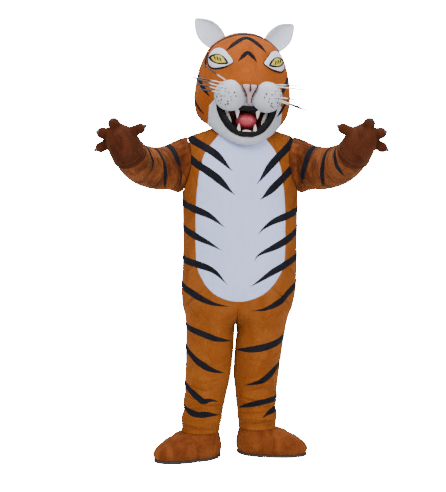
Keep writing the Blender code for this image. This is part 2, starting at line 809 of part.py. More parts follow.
def build_suit(parts):
    orange = material("orange_plush", ORANGE)
    white = material("white_plush", WHITE)
    heights = suit_heights()
    mitres = armhole_loop(1)[1]
    build_half(parts, heights, 1, "left", mitres, orange)
    build_half(parts, heights, -1, "right", mirrored([mitres])[0], orange)
    build_belly(parts, heights, white)
    outer, inner = sleeve_rows()
    wall("sleeve_left", outer, inner, orange, parts, wrap=True)
    wall("sleeve_right", mirrored(outer), mirrored(inner), orange, parts, wrap=True)


def panel(heights, side, span, mitre_edge, mitres):
    """Outer and inner grids of a suit panel between two angles that change with height."""
    outer, normals = [], []
    steps = {round(h, 6): i for i, (h, _) in enumerate(armhole_rows())}
    for height, hole in heights:
        start, end = span(height, hole)
        angles = [start + (end - start) * j / PANEL_COLUMNS for j in range(PANEL_COLUMNS + 1)]
        line = [suit_normal(height, a, side) for a in angles]
        step = steps.get(round(height, 6))
        if step is not None:
            turned = ARMHOLE_STEPS - step if mitre_edge else ARMHOLE_STEPS + step
            line[mitre_edge] = mitres[turned % len(mitres)]
        outer.append([suit_point(height, a, side) for a in angles][::side])
        normals.append(line[::side])
    inner = offset_rows(outer, normals, -CLOTH)
    return [clear_of_middle(ease(grid), side, heights) for grid in (outer, inner)]


def clear_of_middle(rows, side, heights):
    """Keeps a panel's points half a seam gap off the wearer's middle plane."""
    kept = []
    for row, (height, _) in zip(rows, heights):
        sway = sway_at(height)
        across = [max(side * (p.x + sway), SEAM_GAP / 2) for p in row]
        kept.append([Vector((side * a - sway, p.y, p.z)) for a, p in zip(across, row)])
    return kept


def front_span(height, hole):
    return (-belly_angle(height) if height >= BELLY_BOTTOM else -closing_angle(height)), -hole


def back_span(height, hole):
    return hole, zip_angle(height) if height >= ZIP_BOTTOM else closing_angle(height)


def build_half(parts, heights, side, name, mitres, finish):
    for label, span, edge in (("front", front_span, -1), ("back", back_span, 0)):
        wall(f"suit_{label}_{name}", *panel(heights, side, span, edge, mitres), finish, parts)


def belly_angles(height):
    """(angle, side) across the belly, from the wearer's right edge to the left one."""
    reach = math.pi / 2 - belly_angle(height)
    angles = [reach * j / BELLY_COLUMNS - math.pi / 2 for j in range(BELLY_COLUMNS + 1)]
    return [(a, -1) for a in reversed(angles[1:])] + [(a, 1) for a in angles]


def build_belly(parts, heights, finish):
    rows = [h for h, _ in heights if h >= BELLY_BOTTOM]
    outer = [[suit_point(h, a, s) for a, s in belly_angles(h)] for h in rows]
    normals = [[suit_normal(h, a, s) for a, s in belly_angles(h)] for h in rows]
    wall("belly", ease(outer), ease(offset_rows(outer, normals, -CLOTH)), finish, parts)


def build_suit_volume(tools):
    """The torso filled in and grown by the seating gap; cuts what rests on the suit."""
    rings = []
    steps = [j / PANEL_COLUMNS for j in range(1, PANEL_COLUMNS + 1)]
    for height, hole in suit_heights():
        if height < 0.66:
            break
        (a, b), (c, d) = front_span(height, hole), back_span(height, hole)
        line = [a + (b - a) * t for t in steps] + [c + (d - c) * t for t in steps]
        around = belly_angles(height) + [(t, 1) for t in line] + [(t, -1) for t in reversed(line)]
        rings.append([suit_point(height, *at) + suit_normal(height, *at) * SEAT_GAP for at in around])
    return loft("suit_volume", rings, None, tools)


def build_zip(parts):
    """The closed back zip, and the slider at its top."""
    rows = []
    for height in [h for h, _ in suit_heights() if ZIP_BOTTOM < h < 1.43]:
        angle = zip_angle(height)
        left, right = suit_point(height, angle, 1), suit_point(height, angle, -1)
        out = suit_normal(height, math.pi / 2, 1)
        across = (left - right).normalized() * (ZIP_HALF_WIDTH - 0.0006)
        middle = (left + right) / 2
        rows.append([
            middle + across - out * 0.0026,
            middle - across - out * 0.0026,
            middle - across - out * 0.0002,
            middle + across - out * 0.0002,
        ])
    loft("zip_back", rows, material("zip_tape", BLACK, 0.6), parts)
    height = 1.300
    out = suit_normal(height, math.pi / 2, 1)
    middle = suit_point(height, math.pi / 2, 1) + out * 0.0032
    ellipsoid("zip_slider", middle, (0.004, 0.0024, 0.010), material("steel", STEEL, 0.3, 1.0), parts, sides=10)


def build_tail(parts, suit_volume):
    path = [p - Vector((0, 0, SHOULDER_HEIGHT)) for p in curve_through(TAIL_PATH, 2)]
    frames = frames_along(path, Vector((0, 1, 0.2)))
    length = frames[-1][0]
    turns = [2 * math.pi * j / TAIL_SIDES for j in range(TAIL_SIDES)]
    rings = []
    for distance, point, _, up, across in frames:
        left = 1 - distance / length
        size = TAIL_RADIUS * math.sqrt(max(0.06, 1 - max(0.0, 1 - left / 0.05) ** 2))
        rings.append([point + size * (up * math.cos(t) + across * math.sin(t)) for t in turns])
    tail = loft("tail", rings, material("orange_plush", ORANGE), parts)
    boolean(tail, suit_volume)


def build_gloves(parts, tools):
    orange = material("orange_plush", ORANGE)
    black = material("claw_black", BLACK, 0.35)
    for side, name in ((1, "left"), (-1, "right")):
        turn = (lambda rings: rings) if side > 0 else mirrored
        start = SLEEVE_LENGTH - CUFF_OVERLAP
        rings = turn(glove_rings(GLOVE_RINGS, SEAT_GAP + GLOVE_WALL, start))
        glove = loft(f"glove_{name}", rings, orange, parts)
        for digit in DIGITS:
            rings = turn(digit_rings(digit_path(digit), digit.radius))
            boolean(glove, loft(f"{digit.name}_{name}", rings, None, tools), "UNION")
        hollow = turn(glove_rings(HAND_SPACE_RINGS, SEAT_GAP, start - 0.010))
        boolean(glove, loft(f"hand_space_{name}", hollow, None, tools))
        for digit in DIGITS:
            claw = loft(f"claw_{digit.name}_{name}", turn(claw_rings(digit)), black, parts)
            grown = turn(digit_rings(digit_path(digit), digit.radius + SEAT_GAP))
            boolean(claw, loft(f"{digit.name}_seat_{name}", grown, None, tools))


def shoe_rings(foot):
    """Outer rings of a shoe from its collar, inside the hem, down to the sole."""
    low = [suit_point(HEM_HEIGHT, a, foot.side) for a in (0, math.pi)]
    fore = [suit_point(HEM_HEIGHT, a, foot.side) for a in (-math.pi / 2, math.pi / 2)]
    centre = Vector(((low[0].x + low[1].x) / 2, (fore[0].y + fore[1].y) / 2, -SHOULDER_HEIGHT))
    heading = -math.pi / 2 + foot.side * foot.toe_out
    turns = [2 * math.pi * j / SHOE_SIDES for j in range(SHOE_SIDES)]
    rings = []
    for row in SHOE_COLLAR:
        ring = []
        for turn in turns:
            angle = heading + turn if foot.side > 0 else math.pi - heading - turn
            hem = suit_point(HEM_HEIGHT, angle, foot.side)
            hem -= suit_normal(HEM_HEIGHT, angle, foot.side) * row.inset
            ring.append(Vector((hem.x, hem.y, row.height - SHOULDER_HEIGHT)))
        rings.append(ring)
    for row in reversed(SHOE_RINGS):
        ring = []
        for turn in turns:
            ahead, aside = math.cos(turn), math.sin(turn)
            long = row.toe * ahead**0.9 if ahead > 0 else row.heel * ahead
            wide = row.half_width * aside * (1 + BALL_SPREAD * ahead)
            point = Vector((
                long * math.cos(heading) - wide * math.sin(heading),
                long * math.sin(heading) + wide * math.cos(heading),
                row.height,
            ))
            ring.append(centre + point)
        rings.append(ring)
    return rings


def build_shoes(parts):
    orange = material("orange_plush", ORANGE)
    black = material("sole_rubber", BLACK, 0.7)
    for foot in FEET:
        outer = shoe_rings(foot)
        inner = offset_rows(outer, grid_normals(outer, True), -SHOE_WALL)
        inner[-1] = [p + Vector((0, 0, SHOE_WALL)) for p in inner[-1]]
        bowl(f"shoe_{foot.name}", outer, inner, orange, parts)
        bottom = outer[-1]
        middle = sum(bottom, Vector()) / len(bottom)
        rows = []
        for height, grow in ((SOLE_THICKNESS, SOLE_LIP), (0.003, SOLE_LIP), (0.0, SOLE_LIP - 0.002)):
            ring = [p + (p - middle).normalized() * grow for p in bottom]
            rows.append([Vector((p.x, p.y, height - SHOULDER_HEIGHT)) for p in ring])
        loft(f"sole_{foot.name}", rows, black, parts)


def face_point(x, z, out=0.0):
    """A point in front of the face at x and z, out along the surface's own normal."""
    step = 0.002
    y = face_depth(x, z)
    across = Vector((2 * step, face_depth(x + step, z) - face_depth(x - step, z), 0))
    rise = Vector((0, face_depth(x, z + step) - face_depth(x, z - step), 2 * step))
    return Vector((x, y, z)) + across.cross(rise).normalized() * out


def face_normal(x, z):
    return face_point(x, z, 1.0) - face_point(x, z)


def mouth_rings(lift):
    """The liner's rings behind the lips, lifted off its front face."""
    middle = Vector((0, 0, 0.030))
    rings = []
    for row in LINER_RINGS:
        ring = []
        for p in mouth_curve()[::2]:
            scaled = middle + (p - middle) * row.scale
            seat = face_point(scaled.x, scaled.z, -LINER_SEAT)
            ring.append(seat + Vector((0, row.depth, 0)))
        rings.append(ring)
    normals = grid_normals(rings, True)
    normals[0] = [face_normal(p.x, p.z) for p in rings[0]]
    normals[1] = [(f + n) / (1 + f.dot(n)) for f, n in zip(normals[0], normals[2])]
    return offset_rows(rings, normals, lift)


def build_head(parts, tools, suit_volume):
    orange = material("orange_plush", ORANGE)
    white = material("white_plush", WHITE)
    black = material("lip_black", BLACK, 0.3)
    outer = head_rows()
    normals = grid_normals(outer, True)
    volume = loft("head_volume", offset_rows(outer, normals, SEAT_GAP)[::-1], None, tools)
    normals[0] = [Vector((0, 0, 1))] * HEAD_SIDES
    inner = offset_rows(outer, normals, -HEAD_WALL)
    head = bowl("head", outer[::-1], inner[::-1], orange, parts)
    jaw = bowl("jaw", outer[::-1], inner[::-1], white, parts)
    room = [(x + math.copysign(SEAM_GAP, x), z + SEAM_GAP) for x, z in JAW_OUTLINE]
    boolean(head, prism("jaw_space", room, -0.3, JAW_BACK + SEAM_GAP, tools))
    boolean(jaw, prism("jaw_block", JAW_OUTLINE, -0.3, JAW_BACK, tools), "INTERSECT")
    outline = mouth_curve()
    boolean(jaw, prism("mouth_hole", mouth_curve(LIP_RADIUS + 0.0012), -0.3, -0.08, tools))
    lip_path = [face_point(p.x, p.z, 0.0025) for p in outline]
    lip_out = [face_normal(p.x, p.z) for p in outline]
    closed_tube("lips", lip_path, lip_out, LIP_RADIUS, 6, black, parts)
    lip_seat = closed_tube("lip_seat", lip_path, lip_out, LIP_RADIUS + 3 * SEAT_GAP, 8, None, tools)
    for piece in (head, jaw):
        boolean(piece, suit_volume)
    red = material("mouth_red", RED, 0.6)
    liner = bowl("mouth_liner", mouth_rings(-LINER_WALL), mouth_rings(0.0), red, parts)
    grown = offset_rows(outer, normals, SEAT_GAP), offset_rows(outer, normals, -HEAD_WALL - SEAT_GAP)
    boolean(liner, bowl("face_wall", grown[0][::-1], grown[1][::-1], None, tools))
    boolean(liner, lip_seat)
    middle = Vector((0, 0, 0.012))
    inside = prism("mouth_room", [middle + (p - middle) * 0.985 for p in outline], -0.3, -0.08, tools)
    seats = build_face(parts, tools, volume, lip_seat)
    build_mouth(parts, bowl_space(tools), inside, [lip_seat, *seats])
    build_ears(parts, volume)


def bowl_space(tools):
    """The room inside the mouth liner, short of it by the seating gap."""
    rings = mouth_rings(SEAT_GAP)
    front = [p + Vector((0, -0.08, 0)) for p in rings[1]]
    return loft("mouth_space", [front, *rings[1:]], None, tools)


def build_mouth(parts, space, inside, around):
    ivory = material("tooth_white", IVORY, 0.35)
    red = material("tongue_red", RED, 0.5)
    tongue = ellipsoid("tongue", (0, -0.152, 0.004), (0.042, 0.040, 0.034), red, parts, sides=12)
    boolean(tongue, space, "INTERSECT")
    for side, name in ((1, "left"), (-1, "right")):
        top = (side * 0.043, 0.060), (side * 0.041, 0.012), 0.0105
        low = (side * 0.034, -0.052), (side * 0.033, -0.008), 0.0095
        for label, (root, tip, radius) in (("upper", top), ("lower", low)):
            tooth = build_tooth(f"{label}_fang_{name}", root, tip, radius, ivory, parts)
            boolean(tooth, inside, "INTERSECT")
            for tool in around:
                boolean(tooth, tool)
        start, end = face_point(side * 0.100, 0.056, -0.024), face_point(side * 0.079, -0.002, -0.026)
        turn = (end - start).to_track_quat("Z", "Y").to_matrix()
        size = (0.018, 0.009, 0.034)
        row = ellipsoid(f"side_teeth_{name}", (start + end) / 2, size, ivory, parts, turn, 8)
        boolean(row, space, "INTERSECT")
    size = (0.019, 0.005, 0.015)
    teeth = ellipsoid("lower_incisors", face_point(0, -0.040, -0.004), size, ivory, parts, sides=10)
    boolean(teeth, inside, "INTERSECT")
    boolean(teeth, around[0])


def build_tooth(name, root, tip, radius, finish, parts):
    """A fang from under the lip to its point."""
    start, end = face_point(*root, -0.002), face_point(*tip, -0.001)
    frames = frames_along([start, (start + end) / 2, end], Vector((0, 1, 0)))
    turns = [2 * math.pi * j / 7 for j in range(7)]
    rings = []
    for distance, point, _, up, across in frames:
        size = radius * (1 - (distance / frames[-1][0]) ** 1.6) + 0.001
        rings.append([point + size * (up * math.cos(t) + across * math.sin(t)) for t in turns])
    return loft(name, rings, finish, parts)


def build_face(parts, tools, volume, lip_seat):
    white = material("white_plush", WHITE)
    seats = []
    for side, name in ((1, "left"), (-1, "right")):
        centre = Vector((side * PUFF_CENTRE.x, PUFF_CENTRE.y, PUFF_CENTRE.z))
        puff = ellipsoid(f"muzzle_{name}", centre, PUFF_SIZE, white, parts)
        boolean(puff, volume)
        boolean(puff, lip_seat)
        grown = PUFF_SIZE + Vector((1, 1, 1)) * SEAT_GAP
        seats.append(ellipsoid(f"muzzle_seat_{name}", centre, grown, None, tools))
        turn = Matrix.Rotation(side * EYE_TURN, 3, "Z") @ Matrix.Rotation(side * EYE_SLOPE, 3, "Y")
        eye_at = Vector((side * EYE_CENTRE.x, EYE_CENTRE.y, EYE_CENTRE.z))
        eye = ellipsoid(f"eye_{name}", eye_at, EYE_SIZE, white, parts, turn)
        boolean(eye, volume)
        build_whiskers(parts, tools, side, name, centre, seats[-1])
    nose = ellipsoid("nose", NOSE_CENTRE, NOSE_SIZE, material("nose_pink", PINK, 0.5), parts, sides=12)
    stem_at = NOSE_CENTRE + Vector((0, 0.014, -0.022))
    stem = ellipsoid("nose_stem", stem_at, (0.010, 0.022, 0.030), None, tools, sides=8)
    boolean(nose, stem, "UNION")
    for tool in (volume, *seats):
        boolean(nose, tool)
    return seats


def build_whiskers(parts, tools, side, name, centre, puff_seat):
    """The whiskers of one side, on the patch that is sewn to the muzzle."""
    patch_at = centre + Vector((side * PUFF_SIZE.x * 0.62, -PUFF_SIZE.y * 0.72, 0.004))
    size = PUFF_SIZE + Vector((1, 1, 1)) * 0.003
    piece = ellipsoid(f"whiskers_{name}", centre, size, material("whisker_black", BLACK), parts)
    patch = ellipsoid(f"whisker_patch_{name}", patch_at, (0.024, 0.024, 0.048), None, tools, sides=8)
    boolean(piece, patch, "INTERSECT")
    for i, row in enumerate(WHISKERS):
        height = (row.root_height - centre.z) / PUFF_SIZE.z
        ring = math.sqrt(max(0.0, 1 - height**2))
        out = Vector((side * 0.62 * PUFF_SIZE.x, -0.75 * PUFF_SIZE.y, 0)).normalized()
        angle = math.atan2(-0.75, side * 0.62)
        root = centre + Vector((
            PUFF_SIZE.x * ring * math.cos(angle) * 0.97,
            PUFF_SIZE.y * ring * math.sin(angle) * 0.97,
            row.root_height - centre.z,
        ))
        tip = root + Vector((side * row.out, row.back - 0.02, row.up))
        middle = (root + tip) / 2 + out * 0.012
        frames = frames_along([root, middle, tip], Vector((0, 0, 1)))
        rings = []
        for distance, point, _, up, across in frames:
            size = WHISKER_RADIUS * (1 - 0.75 * distance / frames[-1][0])
            rings.append([point + size * d for d in (up, across, -up, -across)])
        boolean(piece, loft(f"whisker_{name}_{i}", rings, None, tools), "UNION")
    boolean(piece, puff_seat)


def build_ears(parts, volume):
    white = material("white_plush", WHITE)
    for side, name in ((1, "left"), (-1, "right")):
        back = []
        for row in EAR_ROWS:
            line = []
            for j in range(7):
                t = j / 3 - 1
                across = row.half_width * math.sin(t * math.pi / 2)
                line.append(Vector((across, -row.cup * (t * t - 0.5), row.along)))
            back.append(line)
        front = offset_rows(back, grid_normals(back, False), -EAR_WALL)
        turn = Matrix.Rotation(side * EAR_TURN, 4, "Z") @ Matrix.Rotation(side * EAR_LEAN, 4, "Y")
        root = Vector((side * EAR_ROOT.x, EAR_ROOT.y, EAR_ROOT.z))
        move = Matrix.Translation(root) @ turn
        placed = [[[move @ p for p in row] for row in grid] for grid in (back, front)]
        ear = wall(f"ear_{name}", *placed, white, parts)
        boolean(ear, volume)


def turn_head(objects):
    """Puts the finished head on the shoulders, turned and tilted as it is worn."""
    pose = Matrix.Translation((0.004, 0, 0)) @ Matrix.Rotation(HEAD_TURN, 4, "Z")
    pose @= Matrix.Rotation(HEAD_TILT, 4, "Y")
    for piece in objects:
        piece.data.transform(pose)


def main():
    for old in list(bpy.data.objects):
        bpy.data.objects.remove(old)
    parts = bpy.data.collections.new("tiger_costume")
    tools = bpy.data.collections.new("cutters")
    tools.hide_render = True
    for collection in (parts, tools):
        bpy.context.scene.collection.children.link(collection)
    build_suit(parts)
    build_zip(parts)
    suit_volume = build_suit_volume(tools)
    build_tail(parts, suit_volume)
    build_gloves(parts, tools)
    build_shoes(parts)
    before = set(bpy.data.objects)
    build_head(parts, tools, suit_volume)
    turn_head([o for o in bpy.data.objects if o not in before])


main()
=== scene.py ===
import math
from collections import namedtuple
from functools import lru_cache

import bmesh
import bpy
from mathutils import Matrix, Vector, noise


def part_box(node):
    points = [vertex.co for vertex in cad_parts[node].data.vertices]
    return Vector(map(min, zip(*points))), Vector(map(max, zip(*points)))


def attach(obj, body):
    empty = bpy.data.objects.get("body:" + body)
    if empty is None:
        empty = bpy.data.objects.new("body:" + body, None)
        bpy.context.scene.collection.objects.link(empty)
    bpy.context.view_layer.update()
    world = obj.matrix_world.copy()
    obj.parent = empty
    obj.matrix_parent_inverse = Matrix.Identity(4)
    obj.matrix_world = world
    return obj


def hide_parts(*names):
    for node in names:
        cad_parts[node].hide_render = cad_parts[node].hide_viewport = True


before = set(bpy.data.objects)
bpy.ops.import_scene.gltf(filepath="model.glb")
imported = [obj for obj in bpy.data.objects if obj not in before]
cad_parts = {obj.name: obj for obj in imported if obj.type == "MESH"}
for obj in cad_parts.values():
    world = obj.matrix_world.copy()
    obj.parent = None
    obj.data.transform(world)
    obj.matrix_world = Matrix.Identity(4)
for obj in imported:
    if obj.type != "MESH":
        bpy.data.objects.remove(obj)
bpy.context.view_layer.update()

# Driving sizes, the same as the solids'. Metres; suit heights from the floor, head heights from the origin
SHOULDER_HEIGHT = 1.400
CLOTH = 0.002
SEAM_GAP = 0.0003
SEAT_GAP = 0.0004
HEAD_WALL = 0.009
CROTCH_HEIGHT = 0.565
HEM_HEIGHT = 0.115
COLLAR_HEIGHT = 1.430
ARMHOLE_TOP = 1.372
ARMHOLE_BOTTOM = 1.120
ARMHOLE_ANGLE = math.radians(35)
BELLY_BOTTOM = 0.672
ZIP_BOTTOM = 0.800
ZIP_HALF_WIDTH = 0.0042
HEAD_TURN = math.radians(6.5)
HEAD_TILT = math.radians(2.5)
HEAD_POSE = Matrix.Translation((0.004, 0, 0)) @ Matrix.Rotation(HEAD_TURN, 4, "Z")
HEAD_POSE @= Matrix.Rotation(HEAD_TILT, 4, "Y")

SuitRing = namedtuple("SuitRing", "height centre outer inner front back power slope")
SUIT_RINGS = [
    SuitRing(1.430, 0.000, 0.098, 0.110, 0.083, 0.088, 1.00, 0.05),
    SuitRing(1.405, 0.000, 0.102, 0.110, 0.087, 0.092, 1.00, 0.12),
    SuitRing(1.395, 0.000, 0.146, 0.110, 0.100, 0.106, 1.00, 0.15),
    SuitRing(1.385, 0.000, 0.194, 0.110, 0.112, 0.116, 0.97, 0.14),
    SuitRing(1.372, 0.000, 0.221, 0.110, 0.122, 0.126, 0.95, 0.12),
    SuitRing(1.330, 0.000, 0.232, 0.110, 0.142, 0.140, 0.90, 0.06),
    SuitRing(1.250, 0.000, 0.239, 0.110, 0.158, 0.150, 0.86, 0.01),
    SuitRing(1.120, 0.000, 0.242, 0.110, 0.170, 0.152, 0.84, 0.00),
    SuitRing(0.950, 0.000, 0.239, 0.110, 0.181, 0.152, 0.84, 0.00),
    SuitRing(0.800, 0.000, 0.240, 0.110, 0.186, 0.160, 0.84, 0.00),
    SuitRing(0.700, 0.000, 0.240, 0.110, 0.180, 0.166, 0.86, 0.00),
    SuitRing(0.672, 0.000, 0.237, 0.109, 0.174, 0.166, 0.87, 0.00),
    SuitRing(0.630, 0.030, 0.200, 0.107, 0.162, 0.160, 0.92, 0.00),
    SuitRing(0.600, 0.070, 0.150, 0.104, 0.150, 0.150, 0.96, 0.00),
    SuitRing(0.570, 0.099, 0.115, 0.100, 0.137, 0.140, 1.00, 0.00),
    SuitRing(0.540, 0.102, 0.108, 0.099, 0.128, 0.131, 1.00, 0.00),
    SuitRing(0.450, 0.105, 0.099, 0.1030, 0.110, 0.114, 1.00, 0.00),
    SuitRing(0.350, 0.107, 0.092, 0.1020, 0.098, 0.104, 1.00, 0.00),
    SuitRing(0.250, 0.109, 0.088, 0.0880, 0.092, 0.096, 1.00, 0.00),
    SuitRing(0.150, 0.117, 0.086, 0.081, 0.088, 0.090, 1.00, 0.00),
    SuitRing(0.115, 0.119, 0.085, 0.080, 0.087, 0.088, 1.00, 0.00),
]

# The white belly's half width by height, seen from the front
BellyEdge = namedtuple("BellyEdge", "height half_width")
BELLY_EDGE = [
    BellyEdge(1.430, 0.066),
    BellyEdge(1.362, 0.091),
    BellyEdge(1.286, 0.143),
    BellyEdge(1.205, 0.168),
    BellyEdge(1.098, 0.181),
    BellyEdge(0.950, 0.186),
    BellyEdge(0.860, 0.183),
]

# Folds: where each lies, how far round it runs in degrees, how steeply it climbs, its width and its depth
Fold = namedtuple("Fold", "height angle reach climb width depth")
LEG_FOLDS = [
    Fold(0.500, -60, 70, 0.050, 0.022, -0.004),
    Fold(0.430, -80, 80, -0.035, 0.020, 0.005),
    Fold(0.385, -40, 60, 0.030, 0.018, -0.005),
    Fold(0.330, -110, 70, 0.025, 0.018, 0.005),
    Fold(0.285, -60, 90, -0.020, 0.017, -0.006),
    Fold(0.245, -90, 120, 0.015, 0.017, 0.006),
    Fold(0.205, -40, 110, -0.012, 0.016, -0.006),
    Fold(0.170, -100, 140, 0.012, 0.016, 0.006),
    Fold(0.130, -60, 130, -0.010, 0.015, -0.005),
    Fold(0.400, 100, 80, 0.030, 0.022, -0.006),
    Fold(0.350, 80, 80, -0.025, 0.020, 0.006),
]
TORSO_FOLDS = [
    Fold(1.060, -25, 26, 0.160, 0.030, -0.004),
    Fold(0.700, -35, 34, -0.120, 0.030, -0.004),
    Fold(0.620, -60, 34, 0.100, 0.026, 0.004),
    Fold(1.020, 60, 40, 0.100, 0.035, -0.005),
    Fold(0.860, 70, 45, 0.060, 0.030, 0.005),
]
# Creases too fine for the solids, listed one by one for each leg and for the torso
LEG_CREASES = {
    1: [
        Fold(0.520, -35, 40, 0.070, 0.007, -0.0026),
        Fold(0.478, -70, 55, 0.045, 0.008, 0.0020),
        Fold(0.436, -48, 50, 0.050, 0.006, -0.0028),
        Fold(0.402, -95, 50, -0.030, 0.007, 0.0022),
        Fold(0.372, -40, 45, 0.040, 0.006, -0.0030),
        Fold(0.345, -105, 60, 0.022, 0.006, -0.0026),
        Fold(0.318, -60, 60, -0.024, 0.007, 0.0026),
        Fold(0.296, -85, 55, 0.020, 0.005, -0.0032),
        Fold(0.268, -45, 60, 0.026, 0.006, -0.0026),
        Fold(0.248, -110, 60, -0.014, 0.005, -0.0028),
        Fold(0.228, -70, 70, 0.018, 0.006, 0.0028),
        Fold(0.214, -35, 50, -0.018, 0.005, -0.0030),
        Fold(0.190, -95, 80, 0.012, 0.006, -0.0028),
        Fold(0.162, -60, 80, -0.010, 0.006, 0.0026),
        Fold(0.146, -80, 70, 0.010, 0.005, -0.0028),
        Fold(0.460, 80, 60, 0.050, 0.008, -0.0030),
        Fold(0.415, 110, 60, -0.030, 0.007, 0.0026),
        Fold(0.375, 70, 60, 0.030, 0.006, -0.0032),
        Fold(0.300, 95, 70, 0.020, 0.007, -0.0028),
        Fold(0.225, 80, 80, -0.016, 0.006, -0.0026),
        Fold(0.150, 100, 90, 0.010, 0.006, -0.0026),
    ],
    -1: [
        Fold(0.532, -30, 36, 0.060, 0.007, -0.0026),
        Fold(0.492, -80, 60, 0.050, 0.008, 0.0020),
        Fold(0.448, -40, 45, 0.050, 0.006, -0.0030),
        Fold(0.420, -72, 60, 0.050, 0.006, -0.0026),
        Fold(0.396, -110, 45, -0.025, 0.007, 0.0024),
        Fold(0.352, -60, 60, 0.036, 0.007, 0.0022),
        Fold(0.334, -100, 60, -0.020, 0.006, -0.0024),
        Fold(0.306, -60, 70, 0.024, 0.005, -0.0032),
        Fold(0.284, -90, 60, -0.018, 0.006, 0.0026),
        Fold(0.262, -50, 70, 0.020, 0.005, -0.0030),
        Fold(0.236, -100, 70, 0.012, 0.006, -0.0028),
        Fold(0.222, -45, 50, -0.014, 0.005, 0.0026),
        Fold(0.198, -70, 90, 0.010, 0.005, -0.0030),
        Fold(0.174, -90, 70, -0.010, 0.006, -0.0024),
        Fold(0.156, -50, 70, 0.010, 0.006, 0.0028),
        Fold(0.134, -85, 80, 0.008, 0.005, -0.0026),
        Fold(0.470, 95, 60, 0.050, 0.008, -0.0030),
        Fold(0.405, 75, 60, -0.030, 0.007, 0.0026),
        Fold(0.360, 100, 60, 0.030, 0.006, -0.0032),
        Fold(0.290, 80, 70, 0.020, 0.007, -0.0028),
        Fold(0.215, 100, 80, -0.016, 0.006, -0.0026),
        Fold(0.140, 80, 90, 0.010, 0.006, -0.0026),
    ],
}
TORSO_CREASES = [
    Fold(1.230, -52, 14, 0.090, 0.010, -0.0024),
    Fold(1.160, -44, 14, 0.080, 0.009, -0.0022),
    Fold(1.085, -20, 16, 0.060, 0.008, -0.0026),
    Fold(1.010, -22, 16, 0.040, 0.008, 0.0020),
    Fold(0.925, -24, 18, -0.035, 0.008, -0.0024),
    Fold(0.860, -15, 16, 0.030, 0.007, -0.0022),
    Fold(0.790, -28, 22, -0.050, 0.008, -0.0028),
    Fold(0.748, -18, 20, -0.050, 0.007, 0.0022),
    Fold(0.690, -44, 24, -0.060, 0.007, -0.0026),
    Fold(0.655, -26, 26, -0.050, 0.007, -0.0028),
    Fold(0.618, -46, 24, 0.050, 0.006, -0.0028),
    Fold(0.600, -70, 26, 0.045, 0.007, -0.0024),
    Fold(0.720, -72, 20, 0.030, 0.014, -0.0026),
    Fold(1.100, -84, 8, 0.120, 0.014, -0.0022),
    Fold(1.180, 40, 24, 0.080, 0.010, -0.0034),
    Fold(1.100, 62, 26, 0.060, 0.009, 0.0028),
    Fold(0.980, 44, 26, 0.070, 0.009, -0.0032),
    Fold(0.905, 66, 24, -0.050, 0.008, -0.0032),
    Fold(0.800, 40, 26, 0.060, 0.009, -0.0030),
    Fold(0.730, 60, 26, -0.050, 0.008, 0.0028),
    Fold(0.660, 46, 28, 0.060, 0.007, -0.0032),
]
# Long soft pulls down the belly: where each starts and ends in height, its half width across and its depth
Pull = namedtuple("Pull", "top bottom at half_width depth")
BELLY_PULLS = [
    Pull(1.000, 0.650, 0.002, 0.012, -0.0030),
    Pull(1.340, 1.000, -0.055, 0.018, -0.0022),
    Pull(1.330, 0.930, 0.060, 0.020, -0.0024),
    Pull(0.980, 0.690, -0.048, 0.014, 0.0022),
    Pull(0.960, 0.700, 0.070, 0.016, -0.0020),
]

ARM_PATH = [
    (0.212, 0.000, 1.240),
    (0.290, -0.035, 1.220),
    (0.358, -0.112, 1.216),
    (0.404, -0.210, 1.232),
    (0.430, -0.292, 1.256),
    (0.446, -0.334, 1.283),
    (0.4625, -0.350, 1.317),
    (0.478, -0.356, 1.352),
    (0.490, -0.360, 1.386),
]
ArmRing = namedtuple("ArmRing", "distance across thick")
SLEEVE_RINGS = [
    ArmRing(0.000, 0.092, 0.110),
    ArmRing(0.070, 0.088, 0.094),
    ArmRing(0.170, 0.084, 0.087),
    ArmRing(0.280, 0.079, 0.080),
    ArmRing(0.370, 0.070, 0.070),
    ArmRing(0.450, 0.063, 0.063),
]
SLEEVE_LENGTH = 0.440
GATHER_REACH = 0.130
GATHER_DEPTH = 0.0045
GATHER_WAVES = 6
CUFF_OVERLAP = 0.022
GLOVE_WALL = 0.003
GLOVE_RINGS = [
    ArmRing(0.458, 0.0655, 0.0675),
    ArmRing(0.478, 0.0610, 0.0690),
    ArmRing(0.500, 0.0540, 0.0680),
    ArmRing(0.524, 0.0450, 0.0590),
    ArmRing(0.546, 0.0260, 0.0370),
]
# Creases round a sleeve: distance down the arm, turn in degrees from its underside, reach, climb, width, depth
ArmFold = namedtuple("ArmFold", "distance turn reach climb width depth")
SLEEVE_CREASES = [
    ArmFold(0.110, 60, 60, 0.020, 0.009, -0.0030),
    ArmFold(0.150, 30, 60, -0.020, 0.008, 0.0028),
    ArmFold(0.195, 80, 70, 0.018, 0.007, -0.0032),
    ArmFold(0.225, 20, 60, 0.014, 0.007, -0.0030),
    ArmFold(0.262, 90, 70, -0.016, 0.007, 0.0028),
    ArmFold(0.290, 40, 70, 0.012, 0.006, -0.0030),
    ArmFold(0.330, 110, 80, 0.010, 0.007, -0.0028),
    ArmFold(0.372, 60, 90, -0.008, 0.007, 0.0024),
    ArmFold(0.240, 170, 70, 0.014, 0.008, -0.0034),
    ArmFold(0.275, 200, 70, -0.012, 0.007, -0.0030),
    ArmFold(0.180, 260, 70, 0.018, 0.010, -0.0032),
    ArmFold(0.310, 290, 80, 0.012, 0.008, -0.0028),
]

